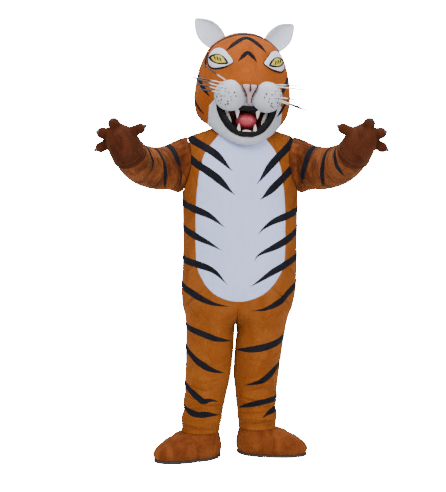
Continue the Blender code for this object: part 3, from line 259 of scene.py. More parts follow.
Digit = namedtuple("Digit", "name angle root reach curl radius")
PALM_DISTANCE = 0.498
DIGITS = [
    Digit("thumb", 88, 0.030, 0.086, 0.008, 0.0225),
    Digit("finger_1", 2, 0.028, 0.062, 0.018, 0.0260),
    Digit("finger_2", -48, 0.030, 0.072, 0.020, 0.0250),
    Digit("finger_3", -90, 0.030, 0.084, 0.016, 0.0225),
]
CLAW_LENGTH = 0.024
CLAW_RADIUS = 0.010

HeadRing = namedtuple("HeadRing", "height side front back dip power")
HEAD_RINGS = [
    HeadRing(0.381, 0.010, 0.010, 0.010, 0.000, 1.00),
    HeadRing(0.374, 0.052, 0.050, 0.055, 0.000, 1.00),
    HeadRing(0.352, 0.096, 0.092, 0.104, 0.000, 0.98),
    HeadRing(0.315, 0.141, 0.126, 0.146, 0.000, 0.97),
    HeadRing(0.265, 0.170, 0.154, 0.174, 0.000, 0.96),
    HeadRing(0.205, 0.188, 0.174, 0.188, 0.000, 0.96),
    HeadRing(0.145, 0.198, 0.186, 0.192, 0.000, 0.96),
    HeadRing(0.090, 0.200, 0.190, 0.188, 0.004, 0.96),
    HeadRing(0.045, 0.192, 0.194, 0.178, 0.020, 0.97),
    HeadRing(0.015, 0.174, 0.197, 0.162, 0.050, 0.98),
    HeadRing(-0.002, 0.152, 0.193, 0.144, 0.078, 1.00),
    HeadRing(-0.008, 0.134, 0.174, 0.132, 0.084, 1.00),
    HeadRing(-0.010, 0.124, 0.152, 0.124, 0.048, 1.00),
    HeadRing(-0.014, 0.119, 0.126, 0.120, 0.008, 1.00),
    HeadRing(-0.040, 0.117, 0.119, 0.118, 0.008, 1.00),
]
CHIN_RING = 11
HEAD_STEPS = [3, 5, 6, 7, 8, 8, 7, 6, 5, 3, 2, 2, 2, 2]
HEAD_COLUMNS = 96
BRIDGE_RISE = 0.040
BRIDGE_HEIGHT = 0.140
BRIDGE_HALF_WIDTH = 0.052
BRIDGE_HALF_HEIGHT = 0.070

MOUTH_OUTLINE = [
    (0.000, 0.052),
    (0.045, 0.055),
    (0.083, 0.072),
    (0.104, 0.074),
    (0.108, 0.053),
    (0.090, 0.010),
    (0.058, -0.030),
    (0.026, -0.049),
    (0.000, -0.051),
]
LIP_RADIUS = 0.0095
LINER_WALL = 0.003
LINER_SEAT = 0.0115
LinerRing = namedtuple("LinerRing", "depth scale")
LINER_RINGS = [
    LinerRing(0.0000, 1.20),
    LinerRing(0.0010, 0.99),
    LinerRing(0.0300, 0.88),
    LinerRing(0.0500, 0.66),
    LinerRing(0.0600, 0.32),
]
JAW_OUTLINE = [
    (-0.150, 0.062),
    (-0.122, 0.098),
    (0.122, 0.098),
    (0.150, 0.062),
    (0.150, -0.150),
    (-0.150, -0.150),
]
JAW_BACK = -0.060

PUFF_CENTRE = Vector((0.074, -0.194, 0.101))
PUFF_SIZE = Vector((0.064, 0.060, 0.062))
EarRow = namedtuple("EarRow", "along half_width cup")
EAR_ROWS = [
    EarRow(0.000, 0.035, 0.016),
    EarRow(0.032, 0.047, 0.024),
    EarRow(0.066, 0.050, 0.026),
    EarRow(0.100, 0.043, 0.019),
    EarRow(0.132, 0.024, 0.009),
    EarRow(0.154, 0.005, 0.001),
]
EAR_ROOT = Vector((0.098, 0.010, 0.325))
EAR_LEAN = math.radians(47)
EAR_TURN = math.radians(12)
EAR_WALL = 0.007

Whisker = namedtuple("Whisker", "side root_height out back up")
WHISKERS = [
    Whisker(-1, 0.156, 0.104, 0.030, 0.070),
    Whisker(-1, 0.146, 0.148, 0.035, 0.021),
    Whisker(-1, 0.128, 0.150, 0.020, 0.041),
    Whisker(-1, 0.118, 0.130, 0.045, 0.026),
    Whisker(-1, 0.106, 0.106, 0.030, 0.013),
    Whisker(1, 0.150, 0.129, 0.035, 0.004),
    Whisker(1, 0.143, 0.165, 0.020, -0.013),
    Whisker(1, 0.100, 0.104, 0.035, -0.012),
    Whisker(1, 0.092, 0.157, 0.020, -0.055),
    Whisker(1, 0.086, 0.130, 0.040, -0.040),
]
WHISKER_RADIUS = 0.0030

ShoeRing = namedtuple("ShoeRing", "height heel toe half_width")
SHOE_RINGS = [
    ShoeRing(0.0123, 0.086, 0.211, 0.082),
    ShoeRing(0.0320, 0.092, 0.219, 0.088),
    ShoeRing(0.0560, 0.092, 0.203, 0.088),
    ShoeRing(0.0790, 0.088, 0.167, 0.085),
    ShoeRing(0.1000, 0.083, 0.119, 0.081),
]
CollarRing = namedtuple("CollarRing", "height inset")
SHOE_COLLAR = [CollarRing(0.147, 0.0120), CollarRing(0.127, 0.0085), CollarRing(0.1138, 0.0054)]
BALL_SPREAD = 0.18
SHOE_WALL = 0.0035
SOLE_THICKNESS = 0.012
SOLE_LIP = 0.004
Foot = namedtuple("Foot", "name side forward toe_out")
FEET = [Foot("left", 1, -0.045, math.radians(76)), Foot("right", -1, 0.030, math.radians(60))]

TAIL_PATH = [
    (0.000, 0.120, 0.770),
    (0.000, 0.190, 0.735),
    (0.000, 0.236, 0.640),
    (0.020, 0.250, 0.500),
    (0.050, 0.244, 0.360),
    (0.085, 0.262, 0.240),
    (0.100, 0.320, 0.175),
    (0.105, 0.385, 0.185),
    (0.105, 0.410, 0.225),
]
TAIL_RADIUS = 0.031

SWAY = 0.046
SWAY_START = 0.900
STANCE_START = 0.560

# Sizes of what only the looks have
SEAM_DEPTH = 0.0013
SEAM_REACH = 0.0040
PANEL_COLUMNS = 30
BELLY_COLUMNS = 56
SLEEVE_ROWS = 90
SLEEVE_COLUMNS = 100
PLEAT_WAVES = 19
GLOVE_VOXEL = 0.0032
SHOE_COLUMNS = 72
STRIPE_RISE = 0.0011

# Room: where the camera stands and looks, and how bright the lights are
CAMERA_AT = Vector((-0.0714, -4.700, -0.250))
CAMERA_AIM = Vector((-0.0714, 0.0, -0.510))
KEY_POWER = 190
FILL_POWER = 80
TOP_POWER = 140
WORLD_LIGHT = 0.45
BACKDROP_LIGHT = 60.0
FLOOR_GLOW = 60.0


# Small maths, the same as the solids'

def smooth_step(t):
    t = min(1.0, max(0.0, t))
    return t * t * (3 - 2 * t)


def signed_power(value, power):
    return math.copysign(abs(value) ** power, value)


def table_row(table, key, at):
    """A row of the table at a value of its first column, on a smooth curve through the rows."""
    rows = sorted(table, key=lambda row: getattr(row, key))
    at = min(max(at, getattr(rows[0], key)), getattr(rows[-1], key))
    i = 1
    while i < len(rows) - 1 and getattr(rows[i], key) < at:
        i += 1
    around = [rows[max(i - 2, 0)], rows[i - 1], rows[i], rows[min(i + 1, len(rows) - 1)]]
    x0, x1, x2, x3 = (getattr(row, key) for row in around)
    step = x2 - x1
    t = (at - x1) / step
    values = []
    for y0, y1, y2, y3 in zip(*around):
        before = (y2 - y0) / (x2 - x0)
        after = (y3 - y1) / (x3 - x1)
        values.append(
            (2 * t**3 - 3 * t**2 + 1) * y1
            + (t**3 - 2 * t**2 + t) * step * before
            + (3 * t**2 - 2 * t**3) * y2
            + (t**3 - t**2) * step * after
        )
    return type(rows[0])(*values)


@lru_cache(maxsize=None)
def suit_ring(height):
    return table_row(SUIT_RINGS, "height", height)


@lru_cache(maxsize=None)
def sleeve_ring(distance):
    return table_row(SLEEVE_RINGS, "distance", distance)


@lru_cache(maxsize=None)
def head_ring(height):
    return table_row(HEAD_RINGS[: CHIN_RING + 1], "height", height)


def curve_through(points, per_span):
    """Points on a smooth open curve through the given ones."""
    points = [Vector(p) for p in points]
    ends = [2 * points[0] - points[1], *points, 2 * points[-1] - points[-2]]
    found = []
    for i in range(len(points) - 1):
        a, b, c, d = ends[i : i + 4]
        for k in range(per_span):
            t = k / per_span
            bend = (2 * a - 5 * b + 4 * c - d) * t**2 + (3 * b - a - 3 * c + d) * t**3
            found.append(0.5 * (2 * b + (c - a) * t + bend))
    return [*found, points[-1]]


def frames_along(path, up):
    """(distance, point, along, up, across) at each point of a path, turning no more than it must."""
    frames = []
    distance = 0.0
    for i, point in enumerate(path):
        along = (path[min(i + 1, len(path) - 1)] - path[max(i - 1, 0)]).normalized()
        up = (up - along * up.dot(along)).normalized()
        if i:
            distance += (point - path[i - 1]).length
        frames.append((distance, point, along, up, along.cross(up)))
    return frames


def frame_at(frames, distance):
    """The frame at a distance along the path."""
    for before, after in zip(frames, frames[1:]):
        if distance <= after[0] or after is frames[-1]:
            t = (distance - before[0]) / (after[0] - before[0])
            return [a + (b - a) * t for a, b in zip(before[1:], after[1:])]


def steps_between(start, end, count):
    return [start + (end - start) * i / count for i in range(count + 1)]


def mirrored(rows):
    return [[Vector((-p.x, p.y, p.z)) for p in row] for row in rows]


# Meshes

def finish_mesh(builder, name, finish, sharp=math.radians(60)):
    """Turns a finished bmesh into a named object."""
    bmesh.ops.remove_doubles(builder, verts=builder.verts, dist=1e-6)
    bmesh.ops.recalc_face_normals(builder, faces=builder.faces)
    if builder.calc_volume(signed=True) < 0:
        bmesh.ops.reverse_faces(builder, faces=builder.faces)
    mesh = bpy.data.meshes.new(name)
    builder.to_mesh(mesh)
    builder.free()
    mesh.shade_smooth()
    mesh.set_sharp_from_angle(angle=sharp)
    made = bpy.data.objects.new(name, mesh)
    bpy.context.scene.collection.objects.link(made)
    if finish:
        mesh.materials.append(finish)
    return made


def add_grid(builder, rows, wrap, values=None, layer=None):
    """Lays a grid of points as quads, and writes one value a point where there are values."""
    grid = [[builder.verts.new(p) for p in row] for row in rows]
    if values:
        for line, marks in zip(grid, values):
            for vertex, mark in zip(line, marks):
                vertex[layer] = mark
    width = len(grid[0])
    for upper, lower in zip(grid, grid[1:]):
        for j in range(width if wrap else width - 1):
            k = (j + 1) % width
            builder.faces.new((upper[j], lower[j], lower[k], upper[k]))
    return grid


def add_edge(builder, outer, inner):
    """Closes the edge between the two faces of a wall."""
    count = len(outer)
    for j in range(count):
        k = (j + 1) % count
        builder.faces.new((outer[j], outer[k], inner[k], inner[j]))


def rim(grid):
    left = [row[0] for row in grid[-2:0:-1]]
    return [*grid[0], *[row[-1] for row in grid[1:-1]], *grid[-1][::-1], *left]


def wall(name, outer, inner, finish, wrap=False, values=None):
    """A sheet of cloth between an outer and an inner grid of points, with the depth of its creases."""
    builder = bmesh.new()
    layer = builder.verts.layers.float.new("crease")
    out = add_grid(builder, outer, wrap, values, layer)
    back = add_grid(builder, inner, wrap, values, layer)
    if wrap:
        add_edge(builder, out[0], back[0])
        add_edge(builder, out[-1], back[-1])
    else:
        add_edge(builder, rim(out), rim(back))
    return finish_mesh(builder, name, finish)


def add_cap(builder, ring):
    """Closes a ring with a fan about its middle."""
    middle = builder.verts.new(sum((v.co for v in ring), Vector()) / len(ring))
    for j in range(len(ring)):
        builder.faces.new((ring[j], ring[(j + 1) % len(ring)], middle))


def add_loft(builder, rings, values=None, layer=None):
    grid = add_grid(builder, rings, True, values, layer)
    add_cap(builder, grid[0])
    add_cap(builder, grid[-1])


def loft(name, rings, finish, values=None):
    """A solid through a stack of rings, closed at both ends."""
    builder = bmesh.new()
    layer = builder.verts.layers.float.new("crease")
    add_loft(builder, rings, values, layer)
    return finish_mesh(builder, name, finish)


def bowl(name, outer, inner, finish):
    """A hollow that is open at its first ring and closed past its last."""
    builder = bmesh.new()
    out = add_grid(builder, outer, True)
    back = add_grid(builder, inner, True)
    add_edge(builder, out[0], back[0])
    add_cap(builder, out[-1])
    add_cap(builder, back[-1])
    return finish_mesh(builder, name, finish)


def offset_rows(rows, normals, distance):
    return [[p + n * distance for p, n in zip(row, out)] for row, out in zip(rows, normals)]


def grid_normals(rows, wrap):
    """The outward normals of a grid whose columns turn anticlockwise seen from its first row."""
    normals = []
    for i, row in enumerate(rows):
        line = []
        for j in range(len(row)):
            right = row[(j + 1) % len(row)] if wrap else row[min(j + 1, len(row) - 1)]
            left = row[j - 1] if wrap else row[max(j - 1, 0)]
            down = rows[min(i + 1, len(rows) - 1)][j] - rows[max(i - 1, 0)][j]
            line.append(down.cross(right - left).normalized())
        normals.append(line)
    return normals


def cut(piece, tool, operation="DIFFERENCE"):
    """Cuts a piece with a tool, or keeps what they share."""
    made = piece.modifiers.new("cut", "BOOLEAN")
    made.object = tool
    made.operation = operation
    made.solver = "EXACT"
    settle(piece)


def settle(piece, sharp=math.radians(60)):
    """Writes a piece's modifiers into its mesh."""
    graph = bpy.context.evaluated_depsgraph_get()
    mesh = bpy.data.meshes.new_from_object(piece.evaluated_get(graph), depsgraph=graph)
    piece.modifiers.clear()
    piece.data = mesh
    mesh.shade_smooth()
    mesh.set_sharp_from_angle(angle=sharp)


def prism(outline, front, back):
    """A cutter: an (x, z) outline carried from front to back."""
    rings = [[Vector((p[0], y, p[-1])) for p in outline] for y in (front, back)]
    return loft("cutter", rings, None)


def discard(*tools):
    for tool in tools:
        bpy.data.objects.remove(tool)


def dress(piece, slot, *nodes):
    """Puts a finished piece on the costume, in place of its solids."""
    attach(piece, "root")
    if nodes:
        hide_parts(*nodes)
    return piece


# The suit's surface

def fold_depth(folds, height, angle):
    """How far the folds lift the cloth at a height and an angle in degrees from the side seam."""
    total = 0.0
    for fold in folds:
        turn = (angle - fold.angle + 180) % 360 - 180
        along = turn / fold.reach
        if abs(along) > 1.9:
            continue
        across = (height - fold.height - fold.climb * along) / fold.width
        if abs(across) < 3:
            total += fold.depth * math.exp(-(across**2) - 2 * along**2)
    return total


def sway_at(height):
    """How far the stance carries the suit towards the wearer's right."""
    return SWAY * smooth_step((SWAY_START - height) / 0.85)


def creases_at(height, degrees, x, side):
    """The depth of the fine creases at a place on the suit."""
    below = smooth_step((CROTCH_HEIGHT - height) / 0.05)
    above = smooth_step((height - CROTCH_HEIGHT + 0.02) / 0.05) * smooth_step((1.30 - height) / 0.06)
    total = 0.0
    if below:
        total += below * fold_depth(LEG_CREASES[side], height, degrees)
    if above:
        total += above * fold_depth(TORSO_CREASES, height, degrees) * smooth_step(x / 0.05)
    if degrees < 0:
        for pull in BELLY_PULLS:
            across = (side * x - pull.at) / pull.half_width
            if pull.bottom < height < pull.top and abs(across) < 3:
                along = (height - pull.bottom) / (pull.top - pull.bottom)
                total += pull.depth * math.exp(-(across**2)) * math.sin(math.pi * along)
    return total


def suit_place(height, angle, side, lift=0.0):
    """A point of the suit and the depth of its crease: angle 0 is the side seam, negative angles the front."""
    ring = suit_ring(height)
    cosine, sine = math.cos(angle), math.sin(angle)
    half = ring.outer if cosine > 0 else ring.inner
    depth = ring.front if sine < 0 else ring.back
    x = ring.centre + half * signed_power(cosine, ring.power)
    y = depth * signed_power(sine, ring.power)
    below = smooth_step((CROTCH_HEIGHT - height) / 0.08)
    above = smooth_step((height - CROTCH_HEIGHT) / 0.08) * smooth_step((1.20 - height) / 0.10)
    degrees = math.degrees(angle)
    fold = below * fold_depth(LEG_FOLDS, height, degrees * (1 if side > 0 else 0.9))
    fold += above * fold_depth(TORSO_FOLDS, height, degrees)
    crease = creases_at(height, degrees, x, side)
    fold = fold * smooth_step(x / 0.05) + crease + lift
    x += fold * cosine
    y += fold * sine
    stance = FEET[0].forward if side > 0 else FEET[1].forward
    y -= stance * smooth_step((STANCE_START - height) / 0.45)
    return Vector((side * x - sway_at(height), y, height - ring.slope * x - SHOULDER_HEIGHT)), crease


def suit_point(height, angle, side, lift=0.0):
    return suit_place(height, angle, side, lift)[0]


def suit_normal(height, angle, side):
    step = 0.004
    turn = suit_point(height, angle + step, side) - suit_point(height, angle - step, side)
    rise = suit_point(height + step, angle, side) - suit_point(height - step, angle, side)
    return (turn.cross(rise) * side).normalized()


def closing_angle(height):
    """Where the half suit meets the middle plane: 90 degrees on the torso, 180 on a whole leg."""
    ring = suit_ring(height)
    if height <= CROTCH_HEIGHT or ring.centre >= ring.inner:
        return math.pi
    return math.pi - math.acos((max(ring.centre, 0.0) / ring.inner) ** (1 / ring.power))


def zip_angle(height):
    """The angle of the back panel's edge beside the zip."""
    ring = suit_ring(height)
    return math.acos((ZIP_HALF_WIDTH / ring.outer) ** (1 / ring.power))


def belly_half_width(height):
    turn = BELLY_EDGE[-1].height
    if height < turn:
        drop = min(1.0, (turn - height) / (turn - BELLY_BOTTOM))
        return BELLY_EDGE[-1].half_width * math.sqrt(1 - drop**2)
    return table_row(BELLY_EDGE, "height", height).half_width


def belly_angle(height):
    ring = suit_ring(height)
    return math.acos((belly_half_width(height) / ring.outer) ** (1 / ring.power))


def armhole_half_angle(height):
    """Half the armhole's width in angle at a height, 0 above and below it."""
    middle = (ARMHOLE_TOP + ARMHOLE_BOTTOM) / 2
    half = (ARMHOLE_TOP - ARMHOLE_BOTTOM) / 2
    away = (height - middle) / half
    return ARMHOLE_ANGLE * math.sqrt(1 - away**2) if abs(away) < 1 else 0.0


def suit_heights():
    """Every row's height, from the collar to the hem; rows crowd together at the armhole's ends."""
    rows = [1.430, 1.422, 1.413, 1.405, 1.400, 1.395, 1.390, 1.385, 1.379]
    middle = (ARMHOLE_TOP + ARMHOLE_BOTTOM) / 2
    half = (ARMHOLE_TOP - ARMHOLE_BOTTOM) / 2
    rows += [middle + half * math.cos(math.pi * i / 60) for i in range(61)]
    rows += steps_between(ARMHOLE_BOTTOM, 0.700, 76)[1:]
    rows += steps_between(0.700, BELLY_BOTTOM, 16)[1:]
    rows += steps_between(BELLY_BOTTOM, CROTCH_HEIGHT, 18)[1:]
    rows += steps_between(CROTCH_HEIGHT, HEM_HEIGHT, 120)[1:]
    return rows


def seam_dip(along, length):
    """How deep the seam at each end of a row pulls the pile in."""
    near = min(along, length - along)
    return -SEAM_DEPTH * math.exp(-((near / SEAM_REACH) ** 2))


def panel_places(columns):
    """Places across a panel from 0 to 1, close together beside its two seams."""
    inner = steps_between(0.06, 0.94, columns)
    return [0.0, 0.008, 0.018, 0.034, *inner, 0.966, 0.982, 0.992, 1.0]


def suit_row(height, angles, side):
    """Points and crease depths along a row of a panel, drawn in at both of its seams."""
    places = [suit_place(height, a, side) for a in angles]
    lengths = [0.0]
    for (before, _), (after, _) in zip(places, places[1:]):
        lengths.append(lengths[-1] + (after - before).length)
    dips = [seam_dip(at, lengths[-1]) for at in lengths]
    points = [suit_point(height, a, side, dip) for a, dip in zip(angles, dips)]
    return points, [crease + dip for (_, crease), dip in zip(places, dips)]


def front_span(height):
    start = -belly_angle(height) if height >= BELLY_BOTTOM else -closing_angle(height)
    return start, -armhole_half_angle(height)


def back_span(height):
    return armhole_half_angle(height), zip_angle(height) if height >= ZIP_BOTTOM else closing_angle(height)


def build_panel(name, side, span, finish):
    outer, values = [], []
    for height in suit_heights():
        start, end = span(height)
        angles = [start + (end - start) * t for t in panel_places(PANEL_COLUMNS)]
        points, marks = suit_row(height, angles, side)
        outer.append(points[::side])
        values.append(marks[::side])
    inner = offset_rows(outer, grid_normals(outer, False), -CLOTH)
    return wall(name, outer, inner, finish, values=values)


def build_belly(finish):
    outer, values = [], []
    for height in [h for h in suit_heights() if h >= BELLY_BOTTOM]:
        reach = math.pi / 2 - belly_angle(height)
        places = [2 * t - 1 for t in panel_places(BELLY_COLUMNS)]
        row = [suit_place(height, reach * abs(t) - math.pi / 2, 1 if t > 0 else -1) for t in places]
        length = 2 * belly_half_width(height) + 1e-6
        marks = [seam_dip((t + 1) / 2 * length, length) for t in places]
        out = [suit_normal(height, reach * abs(t) - math.pi / 2, 1 if t > 0 else -1) for t in places]
        outer.append([p + n * dip for (p, _), n, dip in zip(row, out, marks)])
        values.append(marks)
    inner = offset_rows(outer, grid_normals(outer, False), -CLOTH)
    return wall("belly_cloth", outer, inner, finish, values=values)


# Sleeves and gloves

ARM = frames_along(
    [p - Vector((0, 0, SHOULDER_HEIGHT)) for p in curve_through(ARM_PATH, 10)], Vector((0, 0, 1))
)


@lru_cache(maxsize=None)
def arm_at(distance):
    return tuple(frame_at(ARM, distance))


def arm_point(distance, turn, size, grow=0.0):
    """A point of a ring about the arm: turn 0 is its underside, 90 degrees its front."""
    point, _, up, across = arm_at(distance)
    return point + across * (size.across + grow) * math.sin(turn) - up * (size.thick + grow) * math.cos(turn)


def armhole_point(turn):
    """A point of the armhole on the wearer's left, from its lowest point round by the front."""
    middle = (ARMHOLE_TOP + ARMHOLE_BOTTOM) / 2
    half = (ARMHOLE_TOP - ARMHOLE_BOTTOM) / 2
    return suit_point(middle - half * math.cos(turn), -ARMHOLE_ANGLE * math.sin(turn), 1)


def sleeve_crease(distance, turn):
    total = 0.0
    for fold in SLEEVE_CREASES:
        away = (math.degrees(turn) - fold.turn + 180) % 360 - 180
        along = away / fold.reach
        across = (distance - fold.distance - fold.climb * along) / fold.width
        if abs(across) < 3 and abs(along) < 2:
            total += fold.depth * math.exp(-(across**2) - 2 * along**2)
    return total


def sleeve_place(distance, turn, lift=0.0):
    """A point of the left sleeve and the depth of its crease."""
    size = sleeve_ring(distance)
    blend = smooth_step(distance / 0.12)
    point = arm_point(distance, turn, size)
    if blend < 1:
        point = (armhole_point(turn) + ARM[0][2] * distance).lerp(point, blend)
    middle = arm_at(distance)[0]
    fade = smooth_step(1 - distance / GATHER_REACH)
    opening = smooth_step(distance / 0.012)
    head = 0.5 - 0.5 * math.cos(turn)
    wave = 0.62 * math.cos(GATHER_WAVES * turn) + 0.38 * head * math.cos(PLEAT_WAVES * turn + 0.6)
    crease = GATHER_DEPTH * fade * opening * wave + sleeve_crease(distance, turn) * smooth_step(distance / 0.06)
    return point + (point - middle).normalized() * (crease + lift), crease


def build_sleeve(finish):
    """Outer and inner grids of the left sleeve, with its creases."""
    distances = [0.0, 0.002, 0.005, *steps_between(0.010, SLEEVE_LENGTH, SLEEVE_ROWS)]
    turns = [2 * math.pi * j / SLEEVE_COLUMNS for j in range(SLEEVE_COLUMNS)]
    outer, values = [], []
    for distance in distances:
        dip = -SEAM_DEPTH * math.exp(-((distance / SEAM_REACH) ** 2))
        row = [sleeve_place(distance, turn, dip) for turn in turns]
        outer.append([p for p, _ in row])
        values.append([crease + dip for _, crease in row])
    inner = offset_rows(outer, grid_normals(outer, True), -CLOTH)
    inner[0] = [p + ARM[0][2] * 0.0004 for p in inner[0]]
    pieces = []
    for side, name in ((1, "left"), (-1, "right")):
        turn = (lambda rows: rows) if side > 0 else mirrored
        pieces.append(wall(f"sleeve_cloth_{name}", turn(outer), turn(inner), finish, True, values))
    return pieces


def hand_frame():
    """The palm's middle, the hand's line, the way to the head across it, and the way the palm looks."""
    point, along, _, _ = arm_at(PALM_DISTANCE)
    along = along.normalized()
    inward = Vector((-1, 0, 0.1))
    inward = (inward - along * inward.dot(along)).normalized()
    return point, along, inward, along.cross(inward)


def digit_path(digit):
    """Centre line of one digit on the wearer's left hand, from inside the palm to its tip."""
    point, along, inward, facing = hand_frame()
    turn = math.radians(digit.angle)
    out = along * math.cos(turn) + inward * math.sin(turn)
    curl = facing * digit.curl
    root = point + out * digit.root
    knuckle = point + out * (digit.root + digit.reach) / 2 + curl * 0.25
    return [root, knuckle, point + out * digit.reach + curl]


def digit_rings(digit, sides=20):
    """A plump finger's rings, thick at the knuckle and round at the tip."""
    path = curve_through(digit_path(digit), 6)
    frames = frames_along(path, Vector((0.3, 0.9, 0.3)))
    length = frames[-1][0]
    rows = []
    for distance, point, _, up, across in frames:
        at = distance / length
        size = 1.02 - 0.10 * at
        size += 0.06 * math.exp(-(((at - 0.45) / 0.18) ** 2)) - 0.05 * math.exp(-(((at - 0.72) / 0.10) ** 2))
        rows.append((point, size, up, across))
    _, tip, along, up, across = frames[-1]
    for bend in (15, 30, 45, 60, 74, 84):
        lift = along * digit.radius * 0.92 * math.sin(math.radians(bend))
        rows.append((tip + lift, 0.92 * math.cos(math.radians(bend)), up, across))
    turns = [2 * math.pi * j / sides for j in range(sides)]
    return [
        [point + digit.radius * size * (up * math.cos(t) + across * math.sin(t)) for t in turns]
        for point, size, up, across in rows
    ]


def claw_rings(digit):
    """A hooked claw from inside the finger's tip."""
    path = digit_path(digit)
    along = (path[-1] - path[-2]).normalized()
    start = path[-1] + along * digit.radius * 0.30
    middle = start + along * CLAW_LENGTH * 0.55
    tip = start + along * CLAW_LENGTH + hand_frame()[3] * CLAW_LENGTH * 0.30
    frames = frames_along(curve_through([start, middle, tip], 7), Vector((0.3, 0.9, 0.3)))
    turns = [2 * math.pi * j / 14 for j in range(14)]
    rings = []
    for distance, point, _, up, side in frames:
        size = CLAW_RADIUS * (1 - (distance / frames[-1][0]) ** 1.7) + 0.0007
        rings.append([point + size * (up * math.cos(t) + side * math.sin(t)) for t in turns])
    return rings


def palm_rings(sides=40):
    start = SLEEVE_LENGTH - CUFF_OVERLAP
    turns = [2 * math.pi * j / sides for j in range(sides)]
    rings = []
    for distance in steps_between(start - 0.012, SLEEVE_LENGTH + 0.002, 6):
        rings.append([arm_point(distance, t, sleeve_ring(distance), SEAT_GAP + GLOVE_WALL) for t in turns])
    for distance in steps_between(GLOVE_RINGS[0].distance, GLOVE_RINGS[-1].distance, 24):
        size = table_row(GLOVE_RINGS, "distance", distance)
        rings.append([arm_point(distance, t, size) for t in turns])
    end = GLOVE_RINGS[-1]
    for part in (0.75, 0.45):
        size = ArmRing(end.distance, end.across * part, end.thick * part)
        distance = end.distance + 0.010 * math.sqrt(1 - part**2)
        rings.append([arm_point(distance, t, size) for t in turns])
    return rings


def build_glove(finish):
    """The left paw as one plump skin over palm and digits, hollow from the cuff, and its mirror image."""
    builder = bmesh.new()
    add_loft(builder, palm_rings())
    for digit in DIGITS:
        add_loft(builder, digit_rings(digit))
    glove = finish_mesh(builder, "paw_left", finish)
    remesh = glove.modifiers.new("skin", "REMESH")
    remesh.mode = "VOXEL"
    remesh.voxel_size = GLOVE_VOXEL
    soften = glove.modifiers.new("soften", "SMOOTH")
    soften.factor = 0.6
    soften.iterations = 8
    settle(glove)
    open_cuff(glove)
    hollow = glove.modifiers.new("wall", "SOLIDIFY")
    hollow.thickness = GLOVE_WALL
    hollow.offset = -1
    settle(glove)
    other = glove.copy()
    other.data = glove.data.copy()
    other.name = "paw_right"
    bpy.context.scene.collection.objects.link(other)
    other.data.transform(Matrix.Scale(-1, 4, (1, 0, 0)))
    other.data.flip_normals()
    return [glove, other]


def open_cuff(glove):
    """Cuts the skin open across the wrist and raises a rolled edge there."""
    start = SLEEVE_LENGTH - CUFF_OVERLAP
    point, along, _, _ = arm_at(start)
    builder = bmesh.new()
    builder.from_mesh(glove.data)
    whole = [*builder.verts, *builder.edges, *builder.faces]
    bmesh.ops.bisect_plane(
        builder, geom=whole, plane_co=point, plane_no=along.normalized(), clear_inner=True, clear_outer=False
    )
    for vertex in builder.verts:
        away = (vertex.co - point).dot(along.normalized())
        middle = point + along.normalized() * away
        roll = 0.0014 * math.exp(-(((away - 0.006) / 0.005) ** 2)) - 0.0012 * math.exp(-(((away - 0.016) / 0.003) ** 2))
        out = vertex.co - middle
        if away < 0.03 and out.length > 0.03:
            vertex.co += out.normalized() * roll
    builder.to_mesh(glove.data)
    builder.free()
    glove.data.shade_smooth()


# Shoes, tail and zip

def shoe_rings(foot):
    """Outer rings of a shoe from its collar, inside the hem, down to the sole."""
    low = [suit_point(HEM_HEIGHT, a, foot.side) for a in (0, math.pi)]
    fore = [suit_point(HEM_HEIGHT, a, foot.side) for a in (-math.pi / 2, math.pi / 2)]
    centre = Vector(((low[0].x + low[1].x) / 2, (fore[0].y + fore[1].y) / 2, -SHOULDER_HEIGHT))
    heading = -math.pi / 2 + foot.side * foot.toe_out
    turns = [2 * math.pi * j / SHOE_COLUMNS for j in range(SHOE_COLUMNS)]
    rings = []
    collar = steps_between(SHOE_COLLAR[0].height, SHOE_COLLAR[-1].height, 8)
    for height in collar:
        inset = table_row(SHOE_COLLAR, "height", height).inset
        ring = []
        for turn in turns:
            angle = heading + turn if foot.side > 0 else math.pi - heading - turn
            hem = suit_point(HEM_HEIGHT, angle, foot.side) - suit_normal(HEM_HEIGHT, angle, foot.side) * inset
            ring.append(Vector((hem.x, hem.y, height - SHOULDER_HEIGHT)))
        rings.append(ring)
    for height in reversed(steps_between(SHOE_RINGS[0].height, SHOE_RINGS[-1].height, 18)):
        row = table_row(SHOE_RINGS, "height", height)
        ring = []
        for turn in turns:
            ahead, aside = math.cos(turn), math.sin(turn)
            long = row.toe * ahead**0.9 if ahead > 0 else row.heel * ahead
            wide = row.half_width * aside * (1 + BALL_SPREAD * ahead)
            point = Vector((
                long * math.cos(heading) - wide * math.sin(heading),
                long * math.sin(heading) + wide * math.cos(heading),
                row.height + shoe_crease(long, wide) * smooth_step((row.height - 0.02) / 0.03),
            ))
            ring.append(centre + point)
        rings.append(ring)
    return rings


def shoe_crease(long, wide):
    """Soft creases across a shoe where its toes bend."""
    total = 0.0
    for at, depth in ((0.075, -0.0030), (0.098, 0.0022), (0.118, -0.0026), (0.150, 0.0016)):
        total += depth * math.exp(-(((long - at - 0.25 * wide) / 0.009) ** 2))
    return total


def build_shoe(foot, finish, rubber):
    outer = shoe_rings(foot)
    inner = offset_rows(outer, grid_normals(outer, True), -SHOE_WALL)
    inner[-1] = [p + Vector((0, 0, SHOE_WALL)) for p in inner[-1]]
    shoe = bowl(f"slipper_{foot.name}", outer, inner, finish)
    bottom = outer[-1]
    middle = sum(bottom, Vector()) / len(bottom)
    rows = []
    profile = [
        (0.0118, 0.0), (SOLE_THICKNESS, 0.0024), (0.0108, 0.0036), (0.0085, SOLE_LIP),
        (0.0045, SOLE_LIP), (0.0016, 0.0034), (0.0, 0.0018),
    ]
    for height, grow in profile:
        ring = [p + (p - middle).normalized() * grow for p in bottom]
        rows.append([Vector((p.x, p.y, height - SHOULDER_HEIGHT)) for p in ring])
    sole = loft(f"outsole_{foot.name}", rows, rubber)
    edge = [p + (p - middle).normalized() * 0.0010 for p in outer[-2]]
    return shoe, sole, edge


